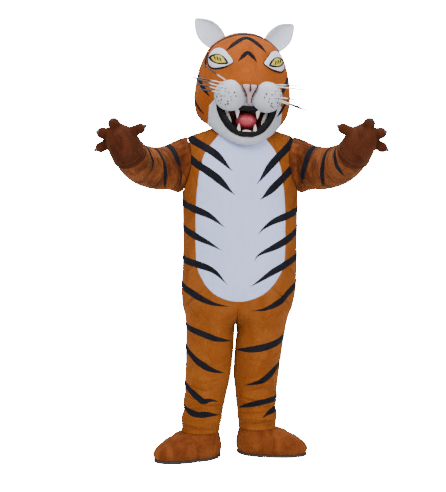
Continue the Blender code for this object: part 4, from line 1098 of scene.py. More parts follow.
@lru_cache(maxsize=None)
def tail_frames():
    path = [p - Vector((0, 0, SHOULDER_HEIGHT)) for p in curve_through(TAIL_PATH, 6)]
    return frames_along(path, Vector((0, 1, 0.2)))


def tail_place(distance, turn, lift=0.0):
    """A point of the tail's skin and the depth of its crease."""
    frames = tail_frames()
    left = 1 - distance / frames[-1][0]
    size = TAIL_RADIUS * math.sqrt(max(0.0, 1 - max(0.0, 1 - left / 0.05) ** 2))
    point, _, up, across = frame_at(frames, distance)
    ripple = 0.0014 * noise.noise(Vector((distance * 30, math.cos(turn) * 1.4, math.sin(turn) * 1.4)))
    out = up * math.cos(turn) + across * math.sin(turn)
    return point + out * (max(size, 0.0004) + ripple + lift), ripple


def build_tail(finish):
    length = tail_frames()[-1][0]
    distances = [
        *steps_between(0.0, 0.95 * length, 150),
        *[length * (1 - 0.05 * (1 - i / 10) ** 2) for i in range(1, 11)],
    ]
    turns = [2 * math.pi * j / 30 for j in range(30)]
    rings = [[tail_place(d, t)[0] for t in turns] for d in distances]
    return loft("tail_skin", rings, finish)


# Head

def head_ring_point(ring, angle, lift=0.0):
    """A point of the head in its own frame: angle -90 degrees is the front."""
    cosine, sine = math.cos(angle), math.sin(angle)
    depth = ring.front if sine < 0 else ring.back
    x = (ring.side + lift) * signed_power(cosine, ring.power)
    y = (depth + lift) * signed_power(sine, ring.power)
    z = ring.height - ring.dip * max(0.0, -sine) ** 1.5
    if sine < 0:
        across = (x / BRIDGE_HALF_WIDTH) ** 2
        up = ((z - BRIDGE_HEIGHT) / BRIDGE_HALF_HEIGHT) ** 2
        y -= BRIDGE_RISE * math.exp(-across - up)
    return Vector((x, y, z))


def head_surface_rings():
    """The head's fine rings: smooth through the upper table rows, straight under the chin."""
    rings = [head_ring(HEAD_RINGS[0].height)]
    for i, count in enumerate(HEAD_STEPS):
        upper, lower = HEAD_RINGS[i], HEAD_RINGS[i + 1]
        for k in range(1, count + 1):
            t = k / count
            if i < CHIN_RING:
                rings.append(head_ring(upper.height + (lower.height - upper.height) * t))
            else:
                rings.append(HeadRing(*[a + (b - a) * t for a, b in zip(upper, lower)]))
    return rings


def head_rows():
    turns = [2 * math.pi * j / HEAD_COLUMNS for j in range(HEAD_COLUMNS)]
    return [[head_ring_point(ring, t) for t in turns] for ring in head_surface_rings()]


def head_place(height, angle, lift=0.0):
    """A point of the head by ring height and angle, for what is sewn on its sides and back."""
    return head_ring_point(head_ring(height), angle, lift), 0.0


@lru_cache(maxsize=None)
def face_depth(x, z):
    """The y of the head's front surface at x and z."""
    low, high = HEAD_RINGS[CHIN_RING].height, HEAD_RINGS[0].height
    for _ in range(34):
        middle = (low + high) / 2
        ring = head_ring(round(middle, 9))
        cosine = min(1.0, (abs(x) / ring.side) ** (1 / ring.power))
        point = head_ring_point(ring, -math.acos(cosine))
        if point.z < z:
            low = middle
        else:
            high = middle
    return point.y


def face_point(x, z, out=0.0):
    """A point in front of the face at x and z, out along the surface's own normal."""
    step = 0.002
    y = face_depth(round(x, 6), round(z, 6))
    sideways = face_depth(round(x + step, 6), round(z, 6)) - face_depth(round(x - step, 6), round(z, 6))
    upwards = face_depth(round(x, 6), round(z + step, 6)) - face_depth(round(x, 6), round(z - step, 6))
    across = Vector((2 * step, sideways, 0))
    rise = Vector((0, upwards, 2 * step))
    return Vector((x, y, z)) + across.cross(rise).normalized() * out


def face_normal(x, z):
    return face_point(x, z, 1.0) - face_point(x, z)


def face_place(x, z, lift=0.0):
    return face_point(x, z, lift), 0.0


def mouth_curve(grow=0.0, per_span=8):
    """The mouth's closed outline, clockwise from the middle of the upper lip, grown outwards."""
    left = curve_through([(x, 0.0, z) for x, z in MOUTH_OUTLINE], per_span)
    whole = left + [Vector((-p.x, 0, p.z)) for p in reversed(left[1:-1])]
    edges = [(whole[(i + 1) % len(whole)] - whole[i - 1]).normalized() for i in range(len(whole))]
    return [p + Vector((-e.z, 0, e.x)) * grow for p, e in zip(whole, edges)]


def build_head(finishes):
    outer = head_rows()
    normals = grid_normals(outer, True)
    normals[0] = [Vector((0, 0, 1))] * HEAD_COLUMNS
    inner = offset_rows(outer, normals, -HEAD_WALL)
    head = bowl("head_skin", outer[::-1], inner[::-1], finishes["face_orange"])
    jaw = bowl("jaw_skin", outer[::-1], inner[::-1], finishes["face_white"])
    room = [(x + math.copysign(SEAM_GAP, x), z + SEAM_GAP) for x, z in JAW_OUTLINE]
    space = prism(room, -0.3, JAW_BACK + SEAM_GAP)
    block = prism(JAW_OUTLINE, -0.3, JAW_BACK)
    hole = prism(mouth_curve(LIP_RADIUS - 0.001), -0.3, -0.08)
    cut(head, space)
    cut(jaw, block, "INTERSECT")
    cut(jaw, hole)
    discard(space, block, hole)
    return head, jaw


def build_lips(finish):
    """Padded black lips, wide down the mouth's sides and narrower under the chin."""
    outline = mouth_curve()
    count = len(outline)
    rings = []
    for i, point in enumerate(outline):
        seat = face_point(point.x, point.z, 0.0035)
        out = face_normal(point.x, point.z)
        forward = (face_point(*outline[(i + 1) % count].xz) - face_point(*outline[i - 1].xz)).normalized()
        across = forward.cross(out).normalized()
        side = smooth_step((abs(point.x) - 0.030) / 0.045)
        half = LIP_RADIUS * (1.15 + 0.50 * side)
        ring = []
        for j in range(18):
            turn = 2 * math.pi * j / 18
            ring.append(seat + across * half * math.cos(turn) + out * LIP_RADIUS * 0.72 * math.sin(turn))
        rings.append(ring)
    builder = bmesh.new()
    grid = [[builder.verts.new(p) for p in row] for row in rings]
    for i in range(count):
        for j in range(18):
            k, m = (i + 1) % count, (j + 1) % 18
            builder.faces.new((grid[i][j], grid[k][j], grid[k][m], grid[i][m]))
    return finish_mesh(builder, "mouth_lips", finish)


def liner_rings(lift):
    """The mouth lining's rings behind the lips."""
    middle = Vector((0, 0, 0.030))
    rings = []
    for depth in (0.0, 0.001, 0.006, 0.014, 0.022, 0.030, 0.038, 0.046, 0.052, 0.057, 0.060):
        scale = table_row(LINER_RINGS, "depth", depth).scale
        ring = []
        for p in mouth_curve(0.0, 4):
            scaled = middle + (p - middle) * scale
            ring.append(face_point(scaled.x, scaled.z, -LINER_SEAT) + Vector((0, depth, 0)))
        rings.append(ring)
    normals = grid_normals(rings, True)
    return offset_rows(rings, normals, lift)


def ball(name, centre, finish, shape, rows=28, columns=40):
    """A closed round form: shape gives a point for a direction from its middle."""
    builder = bmesh.new()
    rings = []
    for i in range(1, rows):
        rise = math.pi * i / rows
        turns = [2 * math.pi * j / columns for j in range(columns)]
        ring = [Vector((math.sin(rise) * math.cos(t), math.sin(rise) * math.sin(t), math.cos(rise))) for t in turns]
        rings.append([centre + shape(d) for d in ring])
    grid = add_grid(builder, rings, True)
    for ring, pole in ((grid[0], Vector((0, 0, 1))), (grid[-1], Vector((0, 0, -1)))):
        tip = builder.verts.new(centre + shape(pole))
        for j in range(columns):
            builder.faces.new((ring[j], ring[(j + 1) % columns], tip))
    return finish_mesh(builder, name, finish)


def build_puffs(finish):
    """The two muzzle pads: round outside, pinched to the nose and flat where they meet the lip."""
    puffs = []
    for side, name in ((1, "left"), (-1, "right")):
        centre = Vector((side * PUFF_CENTRE.x, PUFF_CENTRE.y, PUFF_CENTRE.z))

        def shape(d, side=side):
            inner = smooth_step((-side * d.x - 0.15) / 0.7)
            x = PUFF_SIZE.x * d.x
            y = PUFF_SIZE.y * d.y * (1 - 0.12 * inner)
            z = PUFF_SIZE.z * d.z * (1 - 0.10 * inner) - 0.006 * inner
            quilt = 1 - 0.020 * math.exp(-((d.x / 0.10) ** 2)) * smooth_step(-d.y)
            return Vector((x, y, z)) * quilt

        puffs.append(ball(f"muzzle_pad_{name}", centre, finish, shape))
    return puffs


NOSE_PROFILE = [
    (0.147, 0.024, -0.214, 0.012),
    (0.144, 0.0335, -0.222, 0.020),
    (0.137, 0.0330, -0.228, 0.026),
    (0.127, 0.0275, -0.230, 0.028),
    (0.118, 0.0215, -0.229, 0.028),
    (0.108, 0.0155, -0.226, 0.026),
    (0.098, 0.0115, -0.222, 0.024),
    (0.084, 0.0095, -0.218, 0.022),
    (0.072, 0.0090, -0.214, 0.020),
    (0.066, 0.0070, -0.210, 0.016),
]


def build_nose(finish):
    """A wedge nose over a narrow stem, pressed in down its middle: height, half width, middle and depth."""
    rows = []
    for z, half, front, depth in NOSE_PROFILE:
        ring = []
        for j in range(36):
            turn = 2 * math.pi * j / 36
            x = half * signed_power(math.cos(turn), 0.8)
            bulge = signed_power(math.sin(turn), 0.8)
            slit = 0.006 * math.exp(-((x / 0.0035) ** 2)) * smooth_step((z - 0.092) / 0.02) if bulge < 0 else 0.0
            ring.append(Vector((x, front + depth * 0.5 + depth * bulge + slit, z)))
        rows.append(ring)
    return loft("nose_pad", rows, finish)


def cord(name, path, radius, finish):
    """A round cord along a path, closed at its ends."""
    frames = frames_along(curve_through(path, 8), Vector((0, 1, 0.1)))
    turns = [2 * math.pi * j / 10 for j in range(10)]
    rings = []
    for _, point, _, up, across in frames:
        rings.append([point + radius * (up * math.cos(t) + across * math.sin(t)) for t in turns])
    return loft(name, rings, finish)


def build_nose_trim(finish):
    """The dark cords down both edges of the nose and the dark line between the nostrils."""
    made = []
    for side, name in ((1, "left"), (-1, "right")):
        path = []
        for z, half, front, depth in NOSE_PROFILE[1:-1]:
            path.append(Vector((side * half * 0.93, front - depth * 0.18, z)))
        made.append(cord(f"nose_cord_{name}", path, 0.0019, finish))
    slit = [
        Vector((0, -0.2385, 0.143)), Vector((0, -0.2455, 0.134)),
        Vector((0, -0.2465, 0.124)), Vector((0, -0.2440, 0.116)),
    ]
    made.append(cord("nose_line", slit, 0.0026, finish))
    return made


def build_tongue(finish):
    def shape(d):
        x, y, z = 0.042 * d.x, 0.040 * d.y, 0.034 * d.z
        groove = 0.0045 * math.exp(-((x / 0.007) ** 2)) * smooth_step(-d.y + 0.2)
        return Vector((x, y + groove, z))

    return ball("tongue_pad", Vector((0, -0.152, 0.004)), finish, shape)


def build_tooth(root, tip, radius, finish, name):
    """A fang from under the lip to its point."""
    start, end = face_point(*root, -0.002), face_point(*tip, -0.001)
    middle = (start + end) / 2 + Vector((0, -0.0015, 0))
    frames = frames_along(curve_through([start, middle, end], 9), Vector((0, 1, 0)))
    turns = [2 * math.pi * j / 18 for j in range(18)]
    rings = []
    for distance, point, _, up, across in frames:
        size = radius * (1 - (distance / frames[-1][0]) ** 1.9) + 0.0008
        rings.append([point + size * (up * math.cos(t) + across * math.sin(t)) for t in turns])
    return loft(name, rings, finish)


def build_teeth(finish):
    made = []
    for side, name in ((1, "left"), (-1, "right")):
        upper = build_tooth((side * 0.043, 0.060), (side * 0.041, 0.012), 0.0105, finish, f"upper_tooth_{name}")
        lower = build_tooth((side * 0.034, -0.052), (side * 0.033, -0.008), 0.0095, finish, f"lower_tooth_{name}")
        row = side_teeth(side, name, finish)
        made += [(upper, f"upper_fang_{name}"), (lower, f"lower_fang_{name}"), (row, f"side_teeth_{name}")]
    made.append((incisors(finish), "lower_incisors"))
    return made


def side_teeth(side, name, finish):
    """A row of cheek teeth cut from one strip, notched between the teeth."""
    start, end = face_point(side * 0.094, 0.050, -0.016), face_point(side * 0.070, -0.010, -0.017)
    along = (end - start).normalized()
    out = (Vector((0, -1, 0)) - along * along.dot(Vector((0, -1, 0)))).normalized()
    across = along.cross(out)
    rings = []
    for i in range(49):
        t = i / 48
        notch = 1 - 0.42 * abs(math.cos(math.pi * 4 * t)) ** 6
        size = math.sin(math.pi * min(max(t, 0.03), 0.97)) ** 0.35
        middle = start.lerp(end, t)
        turns = [2 * math.pi * j / 14 for j in range(14)]
        rings.append([
            middle + across * 0.0085 * size * math.cos(u) + out * 0.0060 * size * notch * math.sin(u) for u in turns
        ])
    return loft(f"cheek_teeth_{name}", rings, finish)


def incisors(finish):
    """The row of small lower front teeth."""
    rings = []
    for i in range(61):
        x = -0.0185 + 0.037 * i / 60
        notch = abs(math.cos(math.pi * 5 * (i / 60))) ** 8
        size = math.sin(math.pi * min(max(i / 60, 0.02), 0.98)) ** 0.3
        middle = face_point(x, -0.040, -0.004)
        turns = [2 * math.pi * j / 12 for j in range(12)]
        rings.append([
            middle + Vector((0, 0.0046 * size * math.cos(u), (0.0085 - 0.003 * notch) * size * math.sin(u))) for u in turns
        ])
    return loft("front_teeth", rings, finish)


# What is shaped by an outline on the face

EYE_MIDDLE = (0.110, 0.254)
EYE_DOME = 0.0075
IRIS_OUTER = Vector((0.142, 0.255))
IRIS_INNER = Vector((0.088, 0.233))
PUPILS = (26, 45, 64)


def eye_outline(side):
    """The white of an eye, a teardrop that points down to the nose."""
    points = [
        (0.153, 0.238), (0.150, 0.264), (0.137, 0.288), (0.117, 0.297), (0.096, 0.289),
        (0.080, 0.268), (0.063, 0.241), (0.077, 0.227), (0.101, 0.217), (0.131, 0.214), (0.147, 0.221),
    ]
    return closed_curve([(side * x, z) for x, z in points], 6)


def rim_outline(side):
    """The dark edge round the white of an eye, broader below and outside."""
    points = []
    for x, z in eye_outline(side):
        away = Vector((x - side * EYE_MIDDLE[0], z - EYE_MIDDLE[1])).normalized()
        broad = 0.0026 + 0.0036 * smooth_step(0.4 - 0.4 * away.y + 0.7 * side * away.x)
        points.append((x + away.x * broad, z + away.y * broad))
    return points


def iris_outline(side, grow=0.0):
    """The iris, an almond between two sharp corners."""
    along = (IRIS_INNER - IRIS_OUTER).normalized()
    up = Vector((along.y, -along.x))
    length = (IRIS_INNER - IRIS_OUTER).length
    points = []
    for sign in (1, -1):
        for i in range(16):
            t = i / 16 if sign > 0 else 1 - i / 16
            bow = (0.0185 if sign > 0 else 0.0130) * math.sin(math.pi * t**0.85)
            point = IRIS_OUTER + along * (length * t) + up * sign * (bow + grow * math.sin(math.pi * t) ** 0.5)
            point -= along * grow * math.cos(math.pi * t) * 2.0
            points.append((side * point.x, point.y))
    return points


def closed_curve(points, per_span):
    """A smooth closed outline through (x, z) points."""
    count = len(points)
    found = []
    for i in range(count):
        a, b, c, d = (Vector(points[(i + k) % count]) for k in (-1, 0, 1, 2))
        for k in range(per_span):
            t = k / per_span
            bend = (2 * a - 5 * b + 4 * c - d) * t**2 + (3 * b - a - 3 * c + d) * t**3
            p = 0.5 * (2 * b + (c - a) * t + bend)
            found.append((p.x, p.y))
    return found


def face_patch(name, outline, lift, dome, finish, place=face_point, thickness=0.0012, rows=12):
    """A sewn patch over the face inside an outline, domed in its middle and closed underneath."""
    middle = Vector((sum(p[0] for p in outline), sum(p[1] for p in outline))) / len(outline)
    top, under = [], []
    for i in range(rows):
        s = 1 - i / rows
        edge = math.sqrt(max(0.0, 1 - s * s))
        line = [middle + (Vector(p) - middle) * s for p in outline]
        rise = lift + dome * edge if i else lift - thickness * 0.5
        top.append([place(p.x, p.y, rise) for p in line])
        under.append([place(p.x, p.y, lift - thickness) for p in line])
    builder = bmesh.new()
    upper, lower = add_grid(builder, top, True), add_grid(builder, under, True)
    add_edge(builder, upper[0], lower[0])
    add_cap(builder, upper[-1])
    add_cap(builder, lower[-1])
    return finish_mesh(builder, name, finish)


def eye_lift(x, z, out=0.0):
    """A point over the white of the eye, which bulges from the face."""
    away = ((abs(x) - EYE_MIDDLE[0]) / 0.054) ** 2 + ((z - EYE_MIDDLE[1]) / 0.050) ** 2
    return face_point(x, z, out + 0.0012 + EYE_DOME * math.sqrt(max(0.0, 1 - away)))


def build_eyes(finishes):
    made = []
    for side, name in ((1, "left"), (-1, "right")):
        layers = [
            ("eye_rim", rim_outline(side), 0.0016, "black_cloth", face_point),
            ("eye_white", eye_outline(side), 0.0004, "eye_white", eye_lift),
            ("eye_line", iris_outline(side, 0.0050), 0.0012, "eye_black", eye_lift),
            ("iris", iris_outline(side), 0.0020, "eye_yellow", eye_lift),
        ]
        layers += [(f"pupil_bar_{at}", bar_outline(side, at / 100), 0.0028, "eye_black", eye_lift) for at in PUPILS]
        for label, outline, lift, finish, place in layers:
            made.append(face_patch(f"{label}_{name}", outline, lift, 0.0004, finishes[finish], place))
    return made


def bar_outline(side, at):
    """One of the slanted dark bars across an iris."""
    middle = IRIS_OUTER.lerp(IRIS_INNER, at) + Vector((0.0, 0.003))
    lean = Vector((0.35, 1.0)).normalized()
    flat = Vector((1.0, -0.35)).normalized()
    points = []
    for i in range(16):
        turn = 2 * math.pi * i / 16
        point = middle + lean * 0.0105 * math.cos(turn) + flat * 0.0026 * math.sin(turn)
        points.append((side * point.x, point.y))
    return points


# Stripes

def strip(builder, place, course, width, tapers, steps=(0.0015, 0.6)):
    """Adds one sewn stripe on a surface: course holds places along it, tapers how sharp each end is."""
    middles = curve_through([(u, v, 0) for u, v in course], 10)
    points = [place(p.x, p.y)[0] for p in middles]
    lengths = [0.0]
    for before, after in zip(points, points[1:]):
        lengths.append(lengths[-1] + (after - before).length)
    total = lengths[-1]
    outer, under = [], []
    for i, spot in enumerate(middles):
        at = lengths[i] / total
        half = width / 2 * stripe_taper(at, *tapers)
        ahead = (points[min(i + 1, len(points) - 1)] - points[max(i - 1, 0)]).normalized()
        du = (place(spot.x + steps[0], spot.y)[0] - points[i]) / steps[0]
        dv = (place(spot.x, spot.y + steps[1])[0] - points[i]) / steps[1]
        out = du.cross(dv).normalized()
        across = out.cross(ahead).normalized()
        a, b, c = max(du.dot(du), 0.3), du.dot(dv), dv.dot(dv)
        p, q = du.dot(across), dv.dot(across)
        low = max(a * c - b * b, 0.3 * a * c)
        move_u, move_v = (p * c - q * b) / low, (q * a - p * b) / low
        line, below = [], []
        for k in range(-4, 5):
            s = k / 4
            ragged = 1 + 0.04 * noise.noise(Vector((lengths[i] * 90, s * 3, total * 50)))
            u, v = spot.x + move_u * half * s * ragged, spot.y + move_v * half * s * ragged
            rise = STRIPE_RISE * math.sqrt(max(0.0, 1 - s**4)) * min(1.0, half / 0.003)
            line.append(place(u, v, 0.0003 + rise)[0])
            below.append(place(u, v, -0.0006)[0])
        outer.append(line)
        under.append(below)
    top = add_grid(builder, outer, False)
    bottom = add_grid(builder, under, False)
    add_edge(builder, rim(top), rim(bottom))


def stripe_taper(at, start, end):
    """A stripe's width along it, from 0 to 1: start and end are how much of it each point takes."""
    left = 1.0 if start == 0 else smooth_step(min(1.0, at / start + 0.02)) ** 0.7
    right = 1.0 if end == 0 else smooth_step(min(1.0, (1 - at) / end + 0.02)) ** 0.7
    return max(0.02, left * right)


Stripe = namedtuple("Stripe", "width start end course")
# Torso stripes in height and degrees from the side seam, from the front tip to the back tip
TORSO_STRIPES = {
    -1: [
        Stripe(0.030, 0.42, 0.0, [(1.201, -85), (1.285, -64), (1.369, -21)]),
        Stripe(0.031, 0.42, 0.0, [(1.105, -87), (1.185, -67), (1.262, -31)]),
        Stripe(0.030, 0.30, 0.45, [(0.973, -79), (1.029, -58), (1.069, -16), (1.085, 20), (1.062, 62)]),
        Stripe(0.028, 0.30, 0.45, [(0.881, -76), (0.921, -55), (0.969, -14), (0.985, 22), (0.955, 66)]),
        Stripe(0.029, 0.30, 0.45, [(0.741, -82), (0.809, -61), (0.845, -5), (0.862, 24), (0.835, 64)]),
        Stripe(
            0.030, 0.32, 0.40,
            [(0.651, -86), (0.665, -66), (0.697, -43), (0.735, -8), (0.752, 28), (0.730, 66)],
        ),
    ],
    1: [
        Stripe(0.030, 0.42, 0.0, [(1.149, -78), (1.249, -57), (1.366, -15)]),
        Stripe(0.030, 0.42, 0.0, [(1.085, -75), (1.153, -55), (1.213, -33)]),
        Stripe(
            0.030, 0.30, 0.45,
            [(0.945, -77), (0.977, -69), (1.009, -52), (1.053, -2), (1.080, 24), (1.060, 64)],
        ),
        Stripe(
            0.030, 0.30, 0.45,
            [(0.837, -80), (0.865, -75), (0.897, -57), (0.958, -14), (0.980, 22), (0.955, 62)],
        ),
        Stripe(0.029, 0.30, 0.45, [(0.733, -83), (0.797, -58), (0.847, -20), (0.865, 22), (0.835, 62)]),
        Stripe(
            0.031, 0.30, 0.40,
            [(0.634, -82), (0.641, -66), (0.673, -45), (0.727, -20), (0.752, 26), (0.730, 64)],
        ),
    ],
}
LEG_STRIPES = {
    -1: [
        Stripe(
            0.027, 0.28, 0.40,
            [(0.497, -150), (0.513, -103), (0.537, -65), (0.560, -11), (0.572, 30), (0.545, 85)],
        ),
        Stripe(
            0.028, 0.28, 0.40,
            [(0.365, -137), (0.381, -103), (0.409, -71), (0.453, -29), (0.470, 20), (0.440, 90)],
        ),
        Stripe(
            0.026, 0.26, 0.40,
            [(0.249, -130), (0.257, -105), (0.253, -87), (0.269, -69), (0.305, -25), (0.320, 20), (0.300, 90)],
        ),
        Stripe(
            0.025, 0.24, 0.40,
            [(0.189, -146), (0.197, -106), (0.197, -71), (0.217, -19), (0.226, 30), (0.205, 95)],
        ),
        Stripe(0.022, 0.32, 0.40, [(0.400, 165), (0.420, 130), (0.405, 95)]),
    ],
    1: [
        Stripe(
            0.030, 0.28, 0.40,
            [(0.457, -161), (0.469, -100), (0.493, -46), (0.524, -3), (0.545, 30), (0.520, 88)],
        ),
        Stripe(
            0.028, 0.28, 0.40,
            [(0.309, -123), (0.321, -95), (0.337, -72), (0.397, -21), (0.420, 20), (0.395, 88)],
        ),
        Stripe(0.027, 0.28, 0.40, [(0.205, -155), (0.237, -77), (0.248, -15), (0.262, 25), (0.245, 90)]),
        Stripe(0.025, 0.28, 0.40, [(0.169, -78), (0.189, -52), (0.203, 2), (0.205, 40), (0.180, 95)]),
        Stripe(0.022, 0.32, 0.40, [(0.380, 165), (0.400, 130), (0.385, 95)]),
    ],
}
# Sleeve stripes in distance down the arm and turn in degrees from its underside by the front
SLEEVE_STRIPES = {
    -1: [
        Stripe(
            0.027, 0.20, 0.35,
            [(0.040, 30), (0.062, 68), (0.112, 104), (0.104, 152), (0.100, 200), (0.105, 240)],
        ),
        Stripe(
            0.022, 0.30, 0.35,
            [(0.152, 16), (0.208, 60), (0.244, 96), (0.256, 132), (0.250, 180), (0.250, 230)],
        ),
        Stripe(
            0.019, 0.35, 0.35,
            [(0.324, 44), (0.332, 64), (0.344, 88), (0.368, 108), (0.370, 150), (0.360, 200)],
        ),
        Stripe(0.016, 0.40, 0.35, [(0.420, 40), (0.418, 64), (0.414, 92), (0.412, 130)]),
    ],
    1: [
        Stripe(
            0.029, 0.20, 0.35,
            [(0.040, 30), (0.104, 60), (0.140, 96), (0.134, 136), (0.115, 190), (0.110, 240)],
        ),
        Stripe(
            0.024, 0.25, 0.35,
            [(0.200, 20), (0.244, 48), (0.280, 76), (0.296, 112), (0.290, 160), (0.285, 220)],
        ),
        Stripe(0.021, 0.35, 0.35, [(0.360, 12), (0.376, 36), (0.384, 60), (0.392, 92), (0.385, 140)]),
        Stripe(0.014, 0.40, 0.35, [(0.418, 330), (0.424, 356), (0.424, 376), (0.418, 396)]),
    ],
}
# Head stripes in height and angle, the front at -90 degrees
CHEEK_BANDS = {
    -1: [
        Stripe(0.019, 0.35, 0.30, [(0.235, 4), (0.200, -2), (0.164, -18), (0.128, -32), (0.096, -44)]),
        Stripe(0.015, 0.30, 0.35, [(0.112, 6), (0.072, -12), (0.052, -20), (0.036, -30)]),
    ],
    1: [
        Stripe(0.019, 0.35, 0.30, [(0.225, -14), (0.190, -25), (0.165, -33), (0.132, -43), (0.108, -50)]),
        Stripe(0.015, 0.30, 0.35, [(0.108, -28), (0.078, -38), (0.056, -44), (0.040, -50)]),
    ],
}
BACK_BANDS = [
    Stripe(0.020, 0.35, 0.35, [(0.250, 12), (0.235, 36), (0.225, 62)]),
    Stripe(0.020, 0.35, 0.35, [(0.170, 6), (0.160, 36), (0.165, 70)]),
    Stripe(0.018, 0.35, 0.35, [(0.095, 12), (0.085, 40), (0.095, 72)]),
]
# The narrow band over the crown, round both brows
HEAD_ARC = Stripe(0.015, 0.05, 0.05, [
    (0.216, -152), (0.255, -160), (0.295, -164), (0.325, -157), (0.345, -144), (0.358, -122), (0.363, -92),
    (0.359, -62), (0.348, -42), (0.330, -29), (0.304, -25), (0.278, -25), (0.236, -30),
])
# Brow stripes in x and z on the face
BROWS = [
    Stripe(
        0.020, 0.25, 0.25,
        [(-0.094, 0.282), (-0.052, 0.320), (-0.006, 0.345), (0.040, 0.320), (0.078, 0.282)],
    ),
    Stripe(
        0.017, 0.35, 0.35,
        [(-0.044, 0.240), (-0.024, 0.264), (-0.004, 0.280), (0.016, 0.264), (0.034, 0.240)],
    ),
]
TAIL_BANDS = [
    (0.10, 0.022), (0.21, 0.024), (0.32, 0.024), (0.43, 0.025), (0.54, 0.026), (0.64, 0.026), (0.73, 0.028),
]


def build_suit_stripes(finish):
    made = []
    for side, name in ((1, "left"), (-1, "right")):
        for label, table in (("torso", TORSO_STRIPES), ("leg", LEG_STRIPES)):
            builder = bmesh.new()

            def place(height, angle, lift=0.0):
                return suit_place(height, math.radians(angle), side, lift)

            for row in table[side]:
                strip(builder, place, row.course, row.width, (row.start, row.end))
            made.append(finish_mesh(builder, f"{label}_stripes_{name}", finish))
    return made


def build_sleeve_stripes(finish):
    made = []
    for side, name in ((1, "left"), (-1, "right")):
        builder = bmesh.new()

        def place(distance, turn, lift=0.0):
            point, crease = sleeve_place(distance, math.radians(turn), lift)
            return Vector((side * point.x, point.y, point.z)), crease

        for row in SLEEVE_STRIPES[side]:
            strip(builder, place, row.course, row.width, (row.start, row.end))
        made.append(finish_mesh(builder, f"sleeve_stripes_{name}", finish))
    return made


def build_head_stripes(finish):
    builder = bmesh.new()
    for side, bands in ((1, [*CHEEK_BANDS[1], *BACK_BANDS, HEAD_ARC]), (-1, [*CHEEK_BANDS[-1], *BACK_BANDS])):
        def place(height, angle, lift=0.0):
            turned = angle if side > 0 else 180 - angle
            return head_place(height, math.radians(turned), lift)

        for row in bands:
            strip(builder, place, row.course, row.width, (row.start, row.end))
    for row in BROWS:
        strip(builder, face_place, row.course, row.width, (row.start, row.end), (0.0015, 0.0015))
    return finish_mesh(builder, "head_stripes", finish)


# Section of a sewn band: share of its half width, height over the skin
BAND_SECTION = [
    (-1, -0.0006), (-0.96, 0.0008), (-0.5, 0.0016), (0, 0.0018), (0.5, 0.0016), (0.96, 0.0008), (1, -0.0006),
]


def build_tail_bands(finish):
    builder = bmesh.new()
    for distance, width in TAIL_BANDS:
        rings = []
        for across, lift in BAND_SECTION:
            ring = []
            for j in range(30):
                turn = 2 * math.pi * j / 30
                wave = 0.004 * math.sin(2 * turn + distance * 40)
                ring.append(tail_place(distance + wave + across * width / 2, turn, lift)[0])
            rings.append(ring)
        grid = add_grid(builder, rings, True)
        inner = []
        for a in (-1, 1):
            ring = []
            for j in range(30):
                turn = 2 * math.pi * j / 30
                wave = 0.004 * math.sin(2 * turn + distance * 40)
                place, _ = tail_place(distance + a * width / 2 + wave, turn, -0.0016)
                ring.append(builder.verts.new(place))
            inner.append(ring)
        for j in range(30):
            k = (j + 1) % 30
            builder.faces.new((grid[0][j], grid[0][k], inner[0][k], inner[0][j]))
            builder.faces.new((grid[-1][j], grid[-1][k], inner[1][k], inner[1][j]))
            builder.faces.new((inner[0][j], inner[0][k], inner[1][k], inner[1][j]))
    return finish_mesh(builder, "tail_bands", finish)


# Ears, whiskers and trim

def build_ears(finish):
    made = []
    for side, name in ((1, "left"), (-1, "right")):
        back = []
        for along in steps_between(EAR_ROWS[0].along, EAR_ROWS[-1].along, 36):
            row = table_row(EAR_ROWS, "along", along)
            line = []
            for j in range(33):
                t = j / 16 - 1
                edge = 0.004 * math.exp(-(((abs(t) - 1) / 0.12) ** 2)) if along > 0.01 else 0.0
                line.append(Vector((row.half_width * math.sin(t * math.pi / 2), -row.cup * (t * t - 0.5) - edge, row.along)))
            back.append(line)
        front = offset_rows(back, grid_normals(back, False), -EAR_WALL * 0.8)
        turn = Matrix.Rotation(side * EAR_TURN, 4, "Z") @ Matrix.Rotation(side * EAR_LEAN, 4, "Y")
        move = Matrix.Translation((side * EAR_ROOT.x, EAR_ROOT.y, EAR_ROOT.z)) @ turn
        grids = [[[move @ p for p in row] for row in grid] for grid in (back, front)]
        made.append(wall(f"ear_cloth_{name}", *grids, finish))
    return made


def build_whiskers(side, name, finish):
    """Five stiff whiskers, white at the root and black outwards, each side's as the photograph has them."""
    centre = Vector((side * PUFF_CENTRE.x, PUFF_CENTRE.y, PUFF_CENTRE.z))
    builder = bmesh.new()
    layer = builder.verts.layers.float.new("along")
    for row in (w for w in WHISKERS if w.side == side):
        height = (row.root_height - centre.z) / PUFF_SIZE.z
        ring = math.sqrt(max(0.0, 1 - height**2))
        angle = math.atan2(-0.75, side * 0.62)
        out = Vector((side * 0.62 * PUFF_SIZE.x, -0.75 * PUFF_SIZE.y, 0)).normalized()
        root = centre + Vector((
            PUFF_SIZE.x * ring * math.cos(angle) * 0.97,
            PUFF_SIZE.y * ring * math.sin(angle) * 0.97,
            row.root_height - centre.z,
        ))
        tip = root + Vector((side * row.out, row.back - 0.02, row.up))
        middle = (root + tip) / 2 + out * 0.012
        frames = frames_along(curve_through([root, middle, tip], 14), Vector((0, 0, 1)))
        rings, marks = [], []
        for distance, point, _, up, across in frames:
            at = distance / frames[-1][0]
            size = WHISKER_RADIUS * (0.60 + 0.45 * math.sin(math.pi * at)) * (1 - 0.60 * at**3)
            turns = [2 * math.pi * j / 10 for j in range(10)]
            rings.append([point + size * (up * math.cos(t) + across * math.sin(t)) for t in turns])
            marks.append([at] * 10)
        add_loft(builder, rings, marks, layer)
    return finish_mesh(builder, f"whisker_set_{name}", finish)


